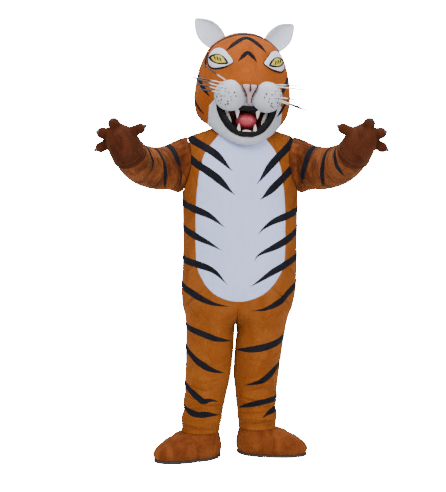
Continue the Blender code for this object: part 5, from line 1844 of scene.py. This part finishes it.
def repeat_tree(name, finish):
    """Geometry nodes that set one small form at every step of a path, along it."""
    tree = bpy.data.node_groups.new(name, "GeometryNodeTree")
    face = tree.interface
    face.new_socket("Path", in_out="INPUT", socket_type="NodeSocketGeometry")
    for label, value in (("Spacing", 0.006), ("Length", 0.004), ("Radius", 0.0006)):
        socket = face.new_socket(label, in_out="INPUT", socket_type="NodeSocketFloat")
        socket.default_value = value
    face.new_socket("Made", in_out="OUTPUT", socket_type="NodeSocketGeometry")
    nodes, link = tree.nodes, tree.links.new
    start, end = nodes.new("NodeGroupInput"), nodes.new("NodeGroupOutput")
    curve = nodes.new("GeometryNodeMeshToCurve")
    resample = nodes.new("GeometryNodeResampleCurve")
    resample.mode = "LENGTH"
    tangent = nodes.new("GeometryNodeInputTangent")
    align = nodes.new("FunctionNodeAlignEulerToVector")
    align.axis = "Z"
    grain = nodes.new("GeometryNodeMeshUVSphere")
    grain.inputs["Segments"].default_value = 8
    grain.inputs["Rings"].default_value = 5
    grain.inputs["Radius"].default_value = 1.0
    size = nodes.new("ShaderNodeCombineXYZ")
    half = nodes.new("ShaderNodeMath")
    half.operation = "MULTIPLY"
    half.inputs[1].default_value = 0.5
    instance = nodes.new("GeometryNodeInstanceOnPoints")
    realize = nodes.new("GeometryNodeRealizeInstances")
    coat = nodes.new("GeometryNodeSetMaterial")
    coat.inputs["Material"].default_value = finish
    link(start.outputs["Path"], curve.inputs["Mesh"])
    link(curve.outputs["Curve"], resample.inputs["Curve"])
    link(start.outputs["Spacing"], resample.inputs["Length"])
    link(resample.outputs["Curve"], instance.inputs["Points"])
    link(tangent.outputs["Tangent"], align.inputs["Vector"])
    link(align.outputs["Rotation"], instance.inputs["Rotation"])
    link(grain.outputs["Mesh"], instance.inputs["Instance"])
    link(start.outputs["Length"], half.inputs[0])
    link(start.outputs["Radius"], size.inputs["X"])
    link(start.outputs["Radius"], size.inputs["Y"])
    link(half.outputs["Value"], size.inputs["Z"])
    link(size.outputs["Vector"], instance.inputs["Scale"])
    link(instance.outputs["Instances"], realize.inputs["Geometry"])
    link(realize.outputs["Geometry"], coat.inputs["Geometry"])
    link(coat.outputs["Geometry"], end.inputs["Made"])
    return tree


def repeat_along(name, path, spacing, length, radius, finish, closed=False):
    """Stitches or teeth along a path, made by geometry nodes and then kept as a plain mesh."""
    builder = bmesh.new()
    points = [builder.verts.new(p) for p in path]
    for a, b in zip(points, points[1:] + points[:1] if closed else points[1:]):
        builder.edges.new((a, b))
    mesh = bpy.data.meshes.new(name)
    builder.to_mesh(mesh)
    builder.free()
    made = bpy.data.objects.new(name, mesh)
    bpy.context.scene.collection.objects.link(made)
    tree = bpy.data.node_groups.get("repeat_" + finish.name) or repeat_tree("repeat_" + finish.name, finish)
    nodes = made.modifiers.new("repeat", "NODES")
    nodes.node_group = tree
    for item in tree.interface.items_tree:
        if item.in_out == "INPUT" and item.name in ("Spacing", "Length", "Radius"):
            nodes[item.identifier] = {"Spacing": spacing, "Length": length, "Radius": radius}[item.name]
    settle(made)
    return made


def suit_path(side, spots, lift=0.0):
    return [suit_point(h, a, side, lift) for h, a in spots]


# Materials

def new_material(name):
    made = bpy.data.materials.new(name)
    made.use_nodes = True
    return made, made.node_tree.nodes, made.node_tree.links.new, made.node_tree.nodes["Principled BSDF"]


def noise_node(nodes, link, coordinates, scale, detail=3.0, roughness=0.55, distortion=0.0):
    made = nodes.new("ShaderNodeTexNoise")
    made.inputs["Scale"].default_value = scale
    made.inputs["Detail"].default_value = detail
    made.inputs["Roughness"].default_value = roughness
    made.inputs["Distortion"].default_value = distortion
    link(coordinates, made.inputs["Vector"])
    return made.outputs["Fac"]


def maths(nodes, link, operation, first, second=None, third=None):
    made = nodes.new("ShaderNodeMath")
    made.operation = operation
    for i, value in enumerate((first, second, third)):
        if value is None:
            continue
        if isinstance(value, (int, float)):
            made.inputs[i].default_value = value
        else:
            link(value, made.inputs[i])
    return made.outputs["Value"]


def band(nodes, link, value, low, high, start=0.0, end=1.0):
    made = nodes.new("ShaderNodeMapRange")
    made.interpolation_type = "SMOOTHSTEP"
    for label, number in (("From Min", low), ("From Max", high), ("To Min", start), ("To Max", end)):
        made.inputs[label].default_value = number
    link(value, made.inputs["Value"])
    return made.outputs["Result"]


def mix_colours(nodes, link, factor, first, second):
    made = nodes.new("ShaderNodeMix")
    made.data_type = "RGBA"
    entries = [s for s in made.inputs if s.enabled]
    for socket, value in zip(entries, (factor, first, second)):
        if isinstance(value, tuple):
            socket.default_value = (*value, 1)
        elif isinstance(value, (int, float)):
            socket.default_value = value
        else:
            link(value, socket)
    return [s for s in made.outputs if s.enabled][0]


def pile_group():
    """Short brushed pile: colour, roughness and height from where it lies and how deep its crease is, with painted
    shade in the crease and seam valleys and a painted highlight on the ridges.
    """
    tree = bpy.data.node_groups.new("brushed_pile", "ShaderNodeTree")
    face = tree.interface
    inputs = {"Colour": "Color", "Shade": "Color", "Crease": "Float", "Patch Scale": "Float", "Nap": "Float"}
    for label, kind in inputs.items():
        face.new_socket(label, in_out="INPUT", socket_type=f"NodeSocket{kind}")
    for label, kind in (("Colour", "Color"), ("Roughness", "Float"), ("Height", "Float")):
        face.new_socket(label, in_out="OUTPUT", socket_type=f"NodeSocket{kind}")
    nodes, link = tree.nodes, tree.links.new
    start, end = nodes.new("NodeGroupInput"), nodes.new("NodeGroupOutput")
    place = nodes.new("ShaderNodeTexCoord").outputs["Object"]
    stretch = nodes.new("ShaderNodeMapping")
    stretch.inputs["Scale"].default_value = (1.0, 1.0, 0.55)
    link(place, stretch.inputs["Vector"])
    brushed = nodes.new("ShaderNodeTexNoise")
    brushed.inputs["Detail"].default_value = 5.0
    brushed.inputs["Roughness"].default_value = 0.6
    brushed.inputs["Distortion"].default_value = 0.9
    link(stretch.outputs["Vector"], brushed.inputs["Vector"])
    link(start.outputs["Patch Scale"], brushed.inputs["Scale"])
    mottle = noise_node(nodes, link, place, 130, 4, 0.6, 0.4)
    fibre = noise_node(nodes, link, place, 900, 3, 0.7)
    tufts = nodes.new("ShaderNodeTexVoronoi")
    tufts.inputs["Scale"].default_value = 620
    link(place, tufts.inputs["Vector"])
    brush = band(nodes, link, brushed.outputs["Fac"], 0.34, 0.68)
    nap = maths(nodes, link, "MULTIPLY", brush, start.outputs["Nap"])
    fleck = band(nodes, link, maths(nodes, link, "ADD", mottle, fibre), 0.70, 1.30, 0.0, 0.42)
    # Painted shade and highlight: crease and seam valleys darken towards Shade, crease ridges lighten.
    deep = band(nodes, link, start.outputs["Crease"], -0.0032, 0.0002, 0.80, 0.0)
    ridge_highlight = band(nodes, link, start.outputs["Crease"], 0.0006, 0.0030, 0.0, 0.35)
    dark = maths(nodes, link, "MAXIMUM", nap, deep)
    shaded = mix_colours(nodes, link, maths(nodes, link, "SUBTRACT", dark, ridge_highlight), start.outputs["Colour"], start.outputs["Shade"])
    clamp = nodes.new("ShaderNodeHueSaturation")
    clamp.inputs["Saturation"].default_value = 0.96
    clamp.inputs["Value"].default_value = 0.86
    link(shaded, clamp.inputs["Color"])
    link(mix_colours(nodes, link, fleck, shaded, clamp.outputs["Color"]), end.inputs["Colour"])
    link(band(nodes, link, brushed.outputs["Fac"], 0.3, 0.7, 0.82, 0.97), end.inputs["Roughness"])
    height = maths(nodes, link, "MULTIPLY_ADD", tufts.outputs["Distance"], 0.55, maths(nodes, link, "MULTIPLY", fibre, 0.5))
    link(maths(nodes, link, "MULTIPLY_ADD", mottle, 0.9, height), end.inputs["Height"])
    return tree


def pile_material(name, group, colour, shade, sheen, tint, patch=11.0, nap=0.55, bump=0.0011, edge=None):
    """A plush cloth. edge tints the pile where the seams dip: painted shade and a painted reflection of the cloth
    beside it.
    """
    made, nodes, link, shader = new_material(name)
    pile = nodes.new("ShaderNodeGroup")
    pile.node_tree = group
    crease = nodes.new("ShaderNodeAttribute")
    crease.attribute_name = "crease"
    pile.inputs["Patch Scale"].default_value = patch
    pile.inputs["Nap"].default_value = nap
    pile.inputs["Shade"].default_value = (*shade, 1)
    if edge:
        # Painted shade and reflection: the pile turns to the pinkish edge colour where the seams dip.
        seam = band(nodes, link, crease.outputs["Fac"], -0.0011, -0.0002, 0.75, 0.0)
        link(mix_colours(nodes, link, seam, colour, edge), pile.inputs["Colour"])
    else:
        pile.inputs["Colour"].default_value = (*colour, 1)
    link(crease.outputs["Fac"], pile.inputs["Crease"])
    relief = nodes.new("ShaderNodeBump")
    relief.inputs["Strength"].default_value = 0.75
    relief.inputs["Distance"].default_value = bump
    link(pile.outputs["Height"], relief.inputs["Height"])
    link(pile.outputs["Colour"], shader.inputs["Base Color"])
    link(pile.outputs["Roughness"], shader.inputs["Roughness"])
    link(relief.outputs["Normal"], shader.inputs["Normal"])
    shader.inputs["Specular IOR Level"].default_value = 0.12
    shader.inputs["Sheen Weight"].default_value = sheen
    shader.inputs["Sheen Roughness"].default_value = 0.42
    shader.inputs["Sheen Tint"].default_value = (*tint, 1)
    return made


def gloss_material(name, colour, deep, roughness, bump, scale, coat=0.0, subsurface=0.0, specular=0.5):
    """Painted foam, resin or rubber: mottled colour, scuffed gloss and a fine surface."""
    made, nodes, link, shader = new_material(name)
    place = nodes.new("ShaderNodeTexCoord").outputs["Object"]
    cloud = noise_node(nodes, link, place, scale, 4, 0.6, 0.5)
    grain = noise_node(nodes, link, place, scale * 9, 3, 0.6)
    blotch = band(nodes, link, cloud, 0.35, 0.70)
    link(mix_colours(nodes, link, blotch, colour, deep), shader.inputs["Base Color"])
    worn = maths(nodes, link, "MULTIPLY_ADD", grain, 0.22, roughness - 0.08)
    link(worn, shader.inputs["Roughness"])
    relief = nodes.new("ShaderNodeBump")
    relief.inputs["Strength"].default_value = 0.5
    relief.inputs["Distance"].default_value = bump
    link(maths(nodes, link, "ADD", grain, cloud), relief.inputs["Height"])
    link(relief.outputs["Normal"], shader.inputs["Normal"])
    shader.inputs["Specular IOR Level"].default_value = specular
    shader.inputs["Coat Weight"].default_value = coat
    shader.inputs["Coat Roughness"].default_value = 0.16
    shader.inputs["Subsurface Weight"].default_value = subsurface
    shader.inputs["Subsurface Radius"].default_value = (0.006, 0.004, 0.003)
    return made


def light_and_shade_material(name, near, far, low, high, axis, roughness, bump, scale, coat=0.0):
    """A form whose colour runs from one colour to another across it, in the head's own direction: painted light at one
    end, painted shade at the other.
    """
    made, nodes, link, shader = new_material(name)
    place = nodes.new("ShaderNodeTexCoord").outputs["Object"]
    split = nodes.new("ShaderNodeSeparateXYZ")
    link(place, split.inputs["Vector"])
    cloud = noise_node(nodes, link, place, scale, 4, 0.6, 0.4)
    grain = noise_node(nodes, link, place, scale * 8, 3, 0.6)
    run = band(nodes, link, maths(nodes, link, "MULTIPLY_ADD", cloud, 0.012, split.outputs[axis]), low, high)
    link(mix_colours(nodes, link, run, far, near), shader.inputs["Base Color"])
    link(maths(nodes, link, "MULTIPLY_ADD", grain, 0.25, roughness - 0.1), shader.inputs["Roughness"])
    relief = nodes.new("ShaderNodeBump")
    relief.inputs["Strength"].default_value = 0.5
    relief.inputs["Distance"].default_value = bump
    link(maths(nodes, link, "ADD", grain, cloud), relief.inputs["Height"])
    link(relief.outputs["Normal"], shader.inputs["Normal"])
    shader.inputs["Coat Weight"].default_value = coat
    return made


def whisker_material():
    made, nodes, link, shader = new_material("whisker_nylon")
    along = nodes.new("ShaderNodeAttribute")
    along.attribute_name = "along"
    place = nodes.new("ShaderNodeTexCoord").outputs["Object"]
    grain = noise_node(nodes, link, place, 700, 2)
    run = maths(nodes, link, "MULTIPLY_ADD", grain, 0.10, along.outputs["Fac"])
    tone = band(nodes, link, run, 0.34, 0.46)
    link(mix_colours(nodes, link, tone, (0.62, 0.58, 0.55), (0.020, 0.020, 0.024)), shader.inputs["Base Color"])
    link(maths(nodes, link, "MULTIPLY_ADD", grain, 0.2, 0.28), shader.inputs["Roughness"])
    relief = nodes.new("ShaderNodeBump")
    relief.inputs["Distance"].default_value = 0.0001
    link(grain, relief.inputs["Height"])
    link(relief.outputs["Normal"], shader.inputs["Normal"])
    return made


def make_finishes():
    pile = pile_group()
    orange_tint, black_tint, white_tint = (1.0, 0.45, 0.16), (0.42, 0.46, 0.62), (0.90, 0.93, 1.0)
    return {
        "suit_orange": pile_material(
            "suit_orange", pile, (0.270, 0.074, 0.008), (0.165, 0.036, 0.003), 0.14, orange_tint
        ),
        # Sleeves and tail: a darker copy of the suit orange, painted shade; its brushed-nap patches are partly real
        # pile and partly painted highlight.
        "shaded_limb_orange": pile_material(
            "shaded_limb_orange", pile, (0.190, 0.046, 0.008), (0.048, 0.009, 0.002), 0.26, orange_tint, 15.0, 0.95
        ),
        # Paws: the suit orange darkened with painted shade.
        "shaded_paw_orange": pile_material(
            "shaded_paw_orange", pile, (0.074, 0.016, 0.004), (0.034, 0.006, 0.002), 0.14, orange_tint, 18.0, 0.7
        ),
        "shoe_orange": pile_material(
            "shoe_orange", pile, (0.240, 0.060, 0.009), (0.110, 0.022, 0.004), 0.16, orange_tint, 12.0, 0.8
        ),
        "face_orange": pile_material(
            "face_orange", pile, (0.330, 0.074, 0.006), (0.240, 0.050, 0.004), 0.10, orange_tint, 12.0, 0.5
        ),
        # Belly: the blue cast of the white is painted skylight; the pinkish edge colour is painted shade and a painted
        # reflection at the seams.
        "belly_white": pile_material(
            "belly_white", pile, (0.545, 0.615, 0.930), (0.440, 0.500, 0.800), 0.12, white_tint, 8.0, 0.35, 0.0006,
            (0.55, 0.30, 0.30)
        ),
        "face_white": pile_material(
            "face_white", pile, (0.540, 0.570, 0.640), (0.390, 0.410, 0.470), 0.12, white_tint, 16.0, 0.5, 0.0010
        ),
        "ear_white": pile_material(
            "ear_white", pile, (0.740, 0.790, 0.900), (0.560, 0.610, 0.720), 0.12, white_tint, 12.0, 0.4, 0.0008
        ),
        "stripe_black": pile_material(
            "stripe_black", pile, (0.009, 0.009, 0.014), (0.004, 0.004, 0.007), 0.02, black_tint, 14.0, 0.6, 0.0008
        ),
        "black_cloth": pile_material(
            "black_cloth", pile, (0.008, 0.007, 0.008), (0.004, 0.004, 0.004), 0.02, black_tint, 14.0, 0.5, 0.0005
        ),
        "eye_white": gloss_material("eye_white", (0.66, 0.66, 0.78), (0.58, 0.58, 0.70), 0.55, 0.0003, 60),
        "eye_black": gloss_material(
            "eye_black", (0.004, 0.004, 0.006), (0.007, 0.007, 0.010), 0.45, 0.0002, 90, specular=0.15
        ),
        "eye_yellow": gloss_material(
            "eye_yellow", (0.58, 0.45, 0.030), (0.40, 0.32, 0.030), 0.40, 0.0002, 120, 0.15
        ),
        "lip_black": gloss_material(
            "lip_black", (0.004, 0.004, 0.005), (0.007, 0.007, 0.008), 0.55, 0.0004, 90, specular=0.10
        ),
        "nose_pink": gloss_material("nose_pink", (0.46, 0.29, 0.30), (0.36, 0.22, 0.23), 0.60, 0.0004, 100),
        "tooth_white": gloss_material(
            "tooth_white", (0.62, 0.61, 0.60), (0.50, 0.47, 0.42), 0.40, 0.0002, 70, 0.15, 0.1
        ),
        "claw_black": gloss_material(
            "claw_black", (0.020, 0.016, 0.016), (0.045, 0.034, 0.030), 0.38, 0.0003, 120, 0.2
        ),
        "sole_rubber": gloss_material(
            "sole_rubber", (0.020, 0.018, 0.017), (0.034, 0.030, 0.028), 0.70, 0.0006, 160
        ),
        "thread": gloss_material("thread", (0.250, 0.085, 0.022), (0.160, 0.050, 0.014), 0.75, 0.0001, 400),
        "spot_grey": gloss_material(
            "spot_grey", (0.050, 0.052, 0.070), (0.090, 0.095, 0.120), 0.80, 0.0002, 200
        ),
        "zip_tape": gloss_material(
            "zip_tape", (0.016, 0.014, 0.014), (0.030, 0.026, 0.025), 0.72, 0.0004, 700
        ),
        "steel": gloss_material("steel", (0.52, 0.52, 0.54), (0.40, 0.40, 0.42), 0.30, 0.0001, 300),
        # Tongue: painted light on its top, painted shade lower down.
        "tongue_red": light_and_shade_material(
            "tongue_red", (0.42, 0.040, 0.058), (0.20, 0.006, 0.014), -0.045, 0.028, "Z", 0.42, 0.0006, 130, 0.2
        ),
        # Mouth lining: its red darkens to near black along the head's depth, painted shade.
        "mouth_red": light_and_shade_material(
            "mouth_red", (0.085, 0.008, 0.010), (0.012, 0.002, 0.003), -0.235, -0.180, "Y", 0.60, 0.0005, 110
        ),
        "whisker_nylon": whisker_material(),
    }


# The room: camera, light and floor

def set_stage():
    scene = bpy.context.scene
    camera = bpy.data.objects.new("camera", bpy.data.cameras.new("camera"))
    scene.collection.objects.link(camera)
    camera.location = CAMERA_AT
    camera.rotation_euler = (CAMERA_AIM - CAMERA_AT).to_track_quat("-Z", "Y").to_euler()
    camera.data.sensor_fit = "HORIZONTAL"
    camera.data.sensor_width = 36
    camera.data.lens = 90.3
    scene.camera = camera
    floor_builder = bmesh.new()
    rings = []
    for radius in (0.5, 1.0, 2.0, 4.0, 9.0, 20.0):
        turns = [2 * math.pi * j / 48 for j in range(48)]
        rings.append([Vector((radius * math.cos(t), radius * math.sin(t), -SHOULDER_HEIGHT)) for t in turns])
    grid = add_grid(floor_builder, rings, True)
    add_cap(floor_builder, grid[0])
    mesh = bpy.data.meshes.new("floor")
    bmesh.ops.recalc_face_normals(floor_builder, faces=floor_builder.faces)
    floor_builder.to_mesh(mesh)
    floor_builder.free()
    floor = bpy.data.objects.new("floor", mesh)
    scene.collection.objects.link(floor)
    mesh.materials.append(floor_material())
    add_light("key", (-1.6, -3.2, 2.6), 2.4, KEY_POWER)
    add_light("fill", (2.6, -2.6, 1.0), 2.8, FILL_POWER)
    add_light("top", (0.2, 0.4, 3.2), 2.6, TOP_POWER)
    world = bpy.data.worlds.new("studio")
    scene.world = world
    world.use_nodes = True
    nodes, link = world.node_tree.nodes, world.node_tree.links.new
    sky = nodes["Background"]
    sky.inputs["Color"].default_value = (1, 1, 1, 1)
    sky.inputs["Strength"].default_value = WORLD_LIGHT
    shown = nodes.new("ShaderNodeBackground")
    shown.inputs["Strength"].default_value = BACKDROP_LIGHT
    split = nodes.new("ShaderNodeMixShader")
    rays = nodes.new("ShaderNodeLightPath")
    link(rays.outputs["Is Camera Ray"], split.inputs["Fac"])
    link(sky.outputs["Background"], split.inputs[1])
    link(shown.outputs["Background"], split.inputs[2])
    link(split.outputs["Shader"], nodes["World Output"].inputs["Surface"])


def add_light(name, place, size, power):
    light = bpy.data.lights.new(name, "AREA")
    light.shape = "DISK"
    light.size = size
    light.energy = power
    lamp = bpy.data.objects.new(name, light)
    bpy.context.scene.collection.objects.link(lamp)
    lamp.location = place
    lamp.rotation_euler = (Vector((0, 0, -0.45)) - Vector(place)).to_track_quat("-Z", "Y").to_euler()


def floor_material():
    """A pale floor that reads as plain white and gives the costume only the light that it bounces."""
    made, nodes, link, shader = new_material("pale_floor")
    place = nodes.new("ShaderNodeTexCoord").outputs["Object"]
    speck = noise_node(nodes, link, place, 60, 3)
    link(mix_colours(nodes, link, speck, (0.90, 0.90, 0.90), (0.94, 0.94, 0.94)), shader.inputs["Base Color"])
    link(band(nodes, link, speck, 0.3, 0.7, 0.75, 0.9), shader.inputs["Roughness"])
    relief = nodes.new("ShaderNodeBump")
    relief.inputs["Distance"].default_value = 0.0002
    link(speck, relief.inputs["Height"])
    link(relief.outputs["Normal"], shader.inputs["Normal"])
    shader.inputs["Emission Color"].default_value = (1, 1, 1, 1)
    rays = nodes.new("ShaderNodeLightPath").outputs["Is Camera Ray"]
    link(maths(nodes, link, "MULTIPLY", rays, FLOOR_GLOW), shader.inputs["Emission Strength"])
    return made


# Putting it together

def turn_head(pieces):
    for piece in pieces:
        piece.data.transform(HEAD_POSE)


def build_body(finishes):
    orange, limb = finishes["suit_orange"], finishes["shaded_limb_orange"]
    for made in [*build_suit_stripes(finishes["stripe_black"]), *build_sleeve_stripes(finishes["stripe_black"])]:
        dress(made, "black_cloth")
    belly = dress(build_belly(finishes["belly_white"]), "white_plush", "belly")
    for side, name in ((1, "left"), (-1, "right")):
        front = dress(build_panel(f"front_cloth_{name}", side, front_span, orange), "orange_plush", f"suit_front_{name}")
        back = dress(build_panel(f"back_cloth_{name}", side, back_span, orange), "orange_plush", f"suit_back_{name}")
    for sleeve, name in zip(build_sleeve(limb), ("left", "right")):
        dress(sleeve, "orange_plush", f"sleeve_{name}")


def build_paws(finishes):
    for glove, side, name in zip(build_glove(finishes["shaded_paw_orange"]), (1, -1), ("left", "right")):
        dress(glove, "orange_plush", f"glove_{name}")
        turn = (lambda rings: rings) if side > 0 else mirrored
        for digit in DIGITS:
            claw = loft(f"hook_{digit.name}_{name}", turn(claw_rings(digit)), finishes["claw_black"])
            dress(claw, "claw_black", f"claw_{digit.name}_{name}")
        start = SLEEVE_LENGTH - CUFF_OVERLAP + 0.016
        turns = [2 * math.pi * j / 80 for j in range(80)]
        ring = [arm_point(start, t, sleeve_ring(start), GLOVE_WALL + SEAT_GAP - 0.0006) for t in turns]
        path = ring if side > 0 else mirrored([ring])[0]
        dress(repeat_along(f"cuff_stitches_{name}", path, 0.0062, 0.0044, 0.0007, finishes["thread"], True), "orange_plush")


def build_feet(finishes):
    for foot in FEET:
        shoe, sole, edge = build_shoe(foot, finishes["shoe_orange"], finishes["sole_rubber"])
        dress(shoe, "orange_plush", f"shoe_{foot.name}")
        dress(sole, "sole_rubber", f"sole_{foot.name}")
        dress(repeat_along(f"sole_stitches_{foot.name}", edge, 0.0085, 0.0060, 0.0009, finishes["thread"], True), "orange_plush")
        hem = suit_path(foot.side, [(HEM_HEIGHT + 0.020, 2 * math.pi * j / 90) for j in range(90)], 0.0003)
        dress(repeat_along(f"hem_stitches_{foot.name}", hem, 0.0070, 0.0050, 0.0007, finishes["thread"], True), "orange_plush")


def build_back(finishes):
    tail = dress(build_tail(finishes["shaded_limb_orange"]), "orange_plush", "tail")
    dress(build_tail_bands(finishes["stripe_black"]), "black_cloth")
    left, right = [], []
    for height in steps_between(ZIP_BOTTOM + 0.004, COLLAR_HEIGHT - 0.004, 130):
        angle = zip_angle(height)
        left.append(suit_point(height, angle, 1))
        right.append(suit_point(height, angle, -1))
    rows = []
    for a, b in zip(left, right):
        middle, across = (a + b) / 2, (a - b).normalized()
        row = [middle + across * (0.0040 * t) - Vector((0, 0.0006 + 0.0012 * (1 - abs(t)), 0)) for t in (1, 0.5, 0, -0.5, -1)]
        rows.append(row + [p - Vector((0, 0.0014, 0)) for p in row[::-1]])
    dress(loft("zip_tape", rows, finishes["zip_tape"]), "black_cloth", "zip_back")
    teeth = [(a + b) / 2 - Vector((0, 0.0010, 0)) for a, b in zip(left, right)]
    dress(repeat_along("zip_teeth", teeth, 0.0034, 0.0020, 0.0022, finishes["zip_tape"]), "black_cloth")
    for label, side in (("left", 1), ("right", -1)):
        spots = [(h, zip_angle(h) - 0.035) for h in steps_between(ZIP_BOTTOM + 0.004, COLLAR_HEIGHT - 0.030, 130)]
        line = suit_path(side, spots, 0.0003)
        dress(repeat_along(f"zip_stitches_{label}", line, 0.0062, 0.0044, 0.0006, finishes["thread"]), "orange_plush")
    build_slider(finishes["steel"])


def build_slider(finish):
    """The zip's slider body with its pull tab hanging below it."""
    low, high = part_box("zip_slider")
    middle = (low + high) / 2

    def body(d):
        pinch = 1 - 0.35 * smooth_step(-d.z)
        return Vector((0.0040 * d.x * pinch, 0.0024 * d.y, 0.0095 * d.z))

    dress(ball("slider_body", middle, finish, body, 14, 20), "steel", "zip_slider")
    outline = closed_curve(
        [(0.0, 0.0), (0.0032, -0.006), (0.0026, -0.022), (0.0, -0.026), (-0.0026, -0.022), (-0.0032, -0.006)], 5
    )
    rings = []
    for grow, out in ((0.80, 0.0), (1.0, 0.0003), (1.0, 0.0010), (0.80, 0.0013)):
        rings.append([middle + Vector((x * grow, 0.0030 + out, z * (0.94 + 0.06 * grow) - 0.004)) for x, z in outline])
    dress(loft("slider_tab", rings, finish), "steel")


def build_face(finishes):
    """The whole head, made upright and then set at its tilt."""
    head, jaw = build_head(finishes)
    lips = build_lips(finishes["lip_black"])
    liner = bowl("mouth_lining", liner_rings(-LINER_WALL), liner_rings(0.0), finishes["mouth_red"])
    puffs = build_puffs(finishes["face_white"])
    ears = build_ears(finishes["ear_white"])
    nose = build_nose(finishes["nose_pink"])
    trims = build_nose_trim(finishes["lip_black"])
    tongue = build_tongue(finishes["tongue_red"])
    teeth = build_teeth(finishes["tooth_white"])
    eyes = build_eyes(finishes)
    stripes = build_head_stripes(finishes["stripe_black"])
    whiskers = [build_whiskers(side, name, finishes["whisker_nylon"]) for side, name in ((1, "left"), (-1, "right"))]
    dots = [muzzle_dots(side, name, finishes["spot_grey"]) for side, name in ((1, "left"), (-1, "right"))]
    turn_head([head, jaw, lips, liner, *puffs, *ears, nose, *trims, tongue, *[t for t, _ in teeth]])
    turn_head([*eyes, stripes, *whiskers, *dots])
    dress(head, "orange_plush", "head")
    dress(jaw, "white_plush", "jaw")
    dress(lips, "black_cloth", "lips")
    dress(liner, "red_cloth", "mouth_liner")
    dress(nose, "pink_cloth", "nose")
    dress(tongue, "red_cloth", "tongue")
    for tooth, node in teeth:
        dress(tooth, "tooth_white", node)
    for piece in trims:
        dress(piece, "black_cloth")
    for piece in eyes:
        white = piece.name.startswith("eye_white")
        nodes = [piece.name.replace("eye_white", "eye")] if white else []
        dress(piece, "white_plush" if white else "black_cloth", *nodes)
    dress(stripes, "black_cloth")
    for i, name in enumerate(("left", "right")):
        dress(puffs[i], "white_plush", f"muzzle_{name}")
        dress(ears[i], "white_plush", f"ear_{name}")
        dress(whiskers[i], "whisker_nylon", f"whiskers_{name}")
        dress(dots[i], "black_cloth")


# Rows of dots on a muzzle pad: rise as a share of its half height, dots in the row, turn of the first
DOT_ROWS = [(0.38, 3, -150), (0.12, 5, -156), (-0.14, 5, -152), (-0.40, 4, -146), (-0.62, 3, -138)]


def muzzle_dots(side, name, finish):
    """Rows of small printed spots over the face of a muzzle pad."""
    builder = bmesh.new()
    for row, (rise, count, first) in enumerate(DOT_ROWS):
        for i in range(count):
            angle = math.radians(first + 19 * i + 4 * math.sin(3.1 * row + 2.3 * i))
            if side > 0:
                angle = math.pi - angle
            level = rise + 0.05 * math.sin(2.7 * i + 1.9 * row)
            ring = math.sqrt(1 - level**2)
            d = Vector((ring * math.cos(angle), ring * math.sin(angle), level))
            at = Vector((side * PUFF_CENTRE.x, PUFF_CENTRE.y, PUFF_CENTRE.z))
            at += Vector((PUFF_SIZE.x * d.x, PUFF_SIZE.y * d.y, PUFF_SIZE.z * d.z)) * 1.004
            out = Vector((d.x / PUFF_SIZE.x, d.y / PUFF_SIZE.y, d.z / PUFF_SIZE.z)).normalized()
            turn = out.to_track_quat("Z", "Y").to_matrix().to_4x4()
            made = bmesh.ops.create_uvsphere(builder, u_segments=12, v_segments=8, radius=1.0)
            size = 0.0030 + 0.0008 * math.sin(5 * i + row)
            place = Matrix.Translation(at) @ turn @ Matrix.Diagonal((size, size * 1.2, 0.0007, 1))
            bmesh.ops.transform(builder, matrix=place, verts=made["verts"])
    return finish_mesh(builder, f"muzzle_dots_{name}", finish)


finishes = make_finishes()
build_body(finishes)
build_paws(finishes)
build_feet(finishes)
build_back(finishes)
build_face(finishes)
set_stage()
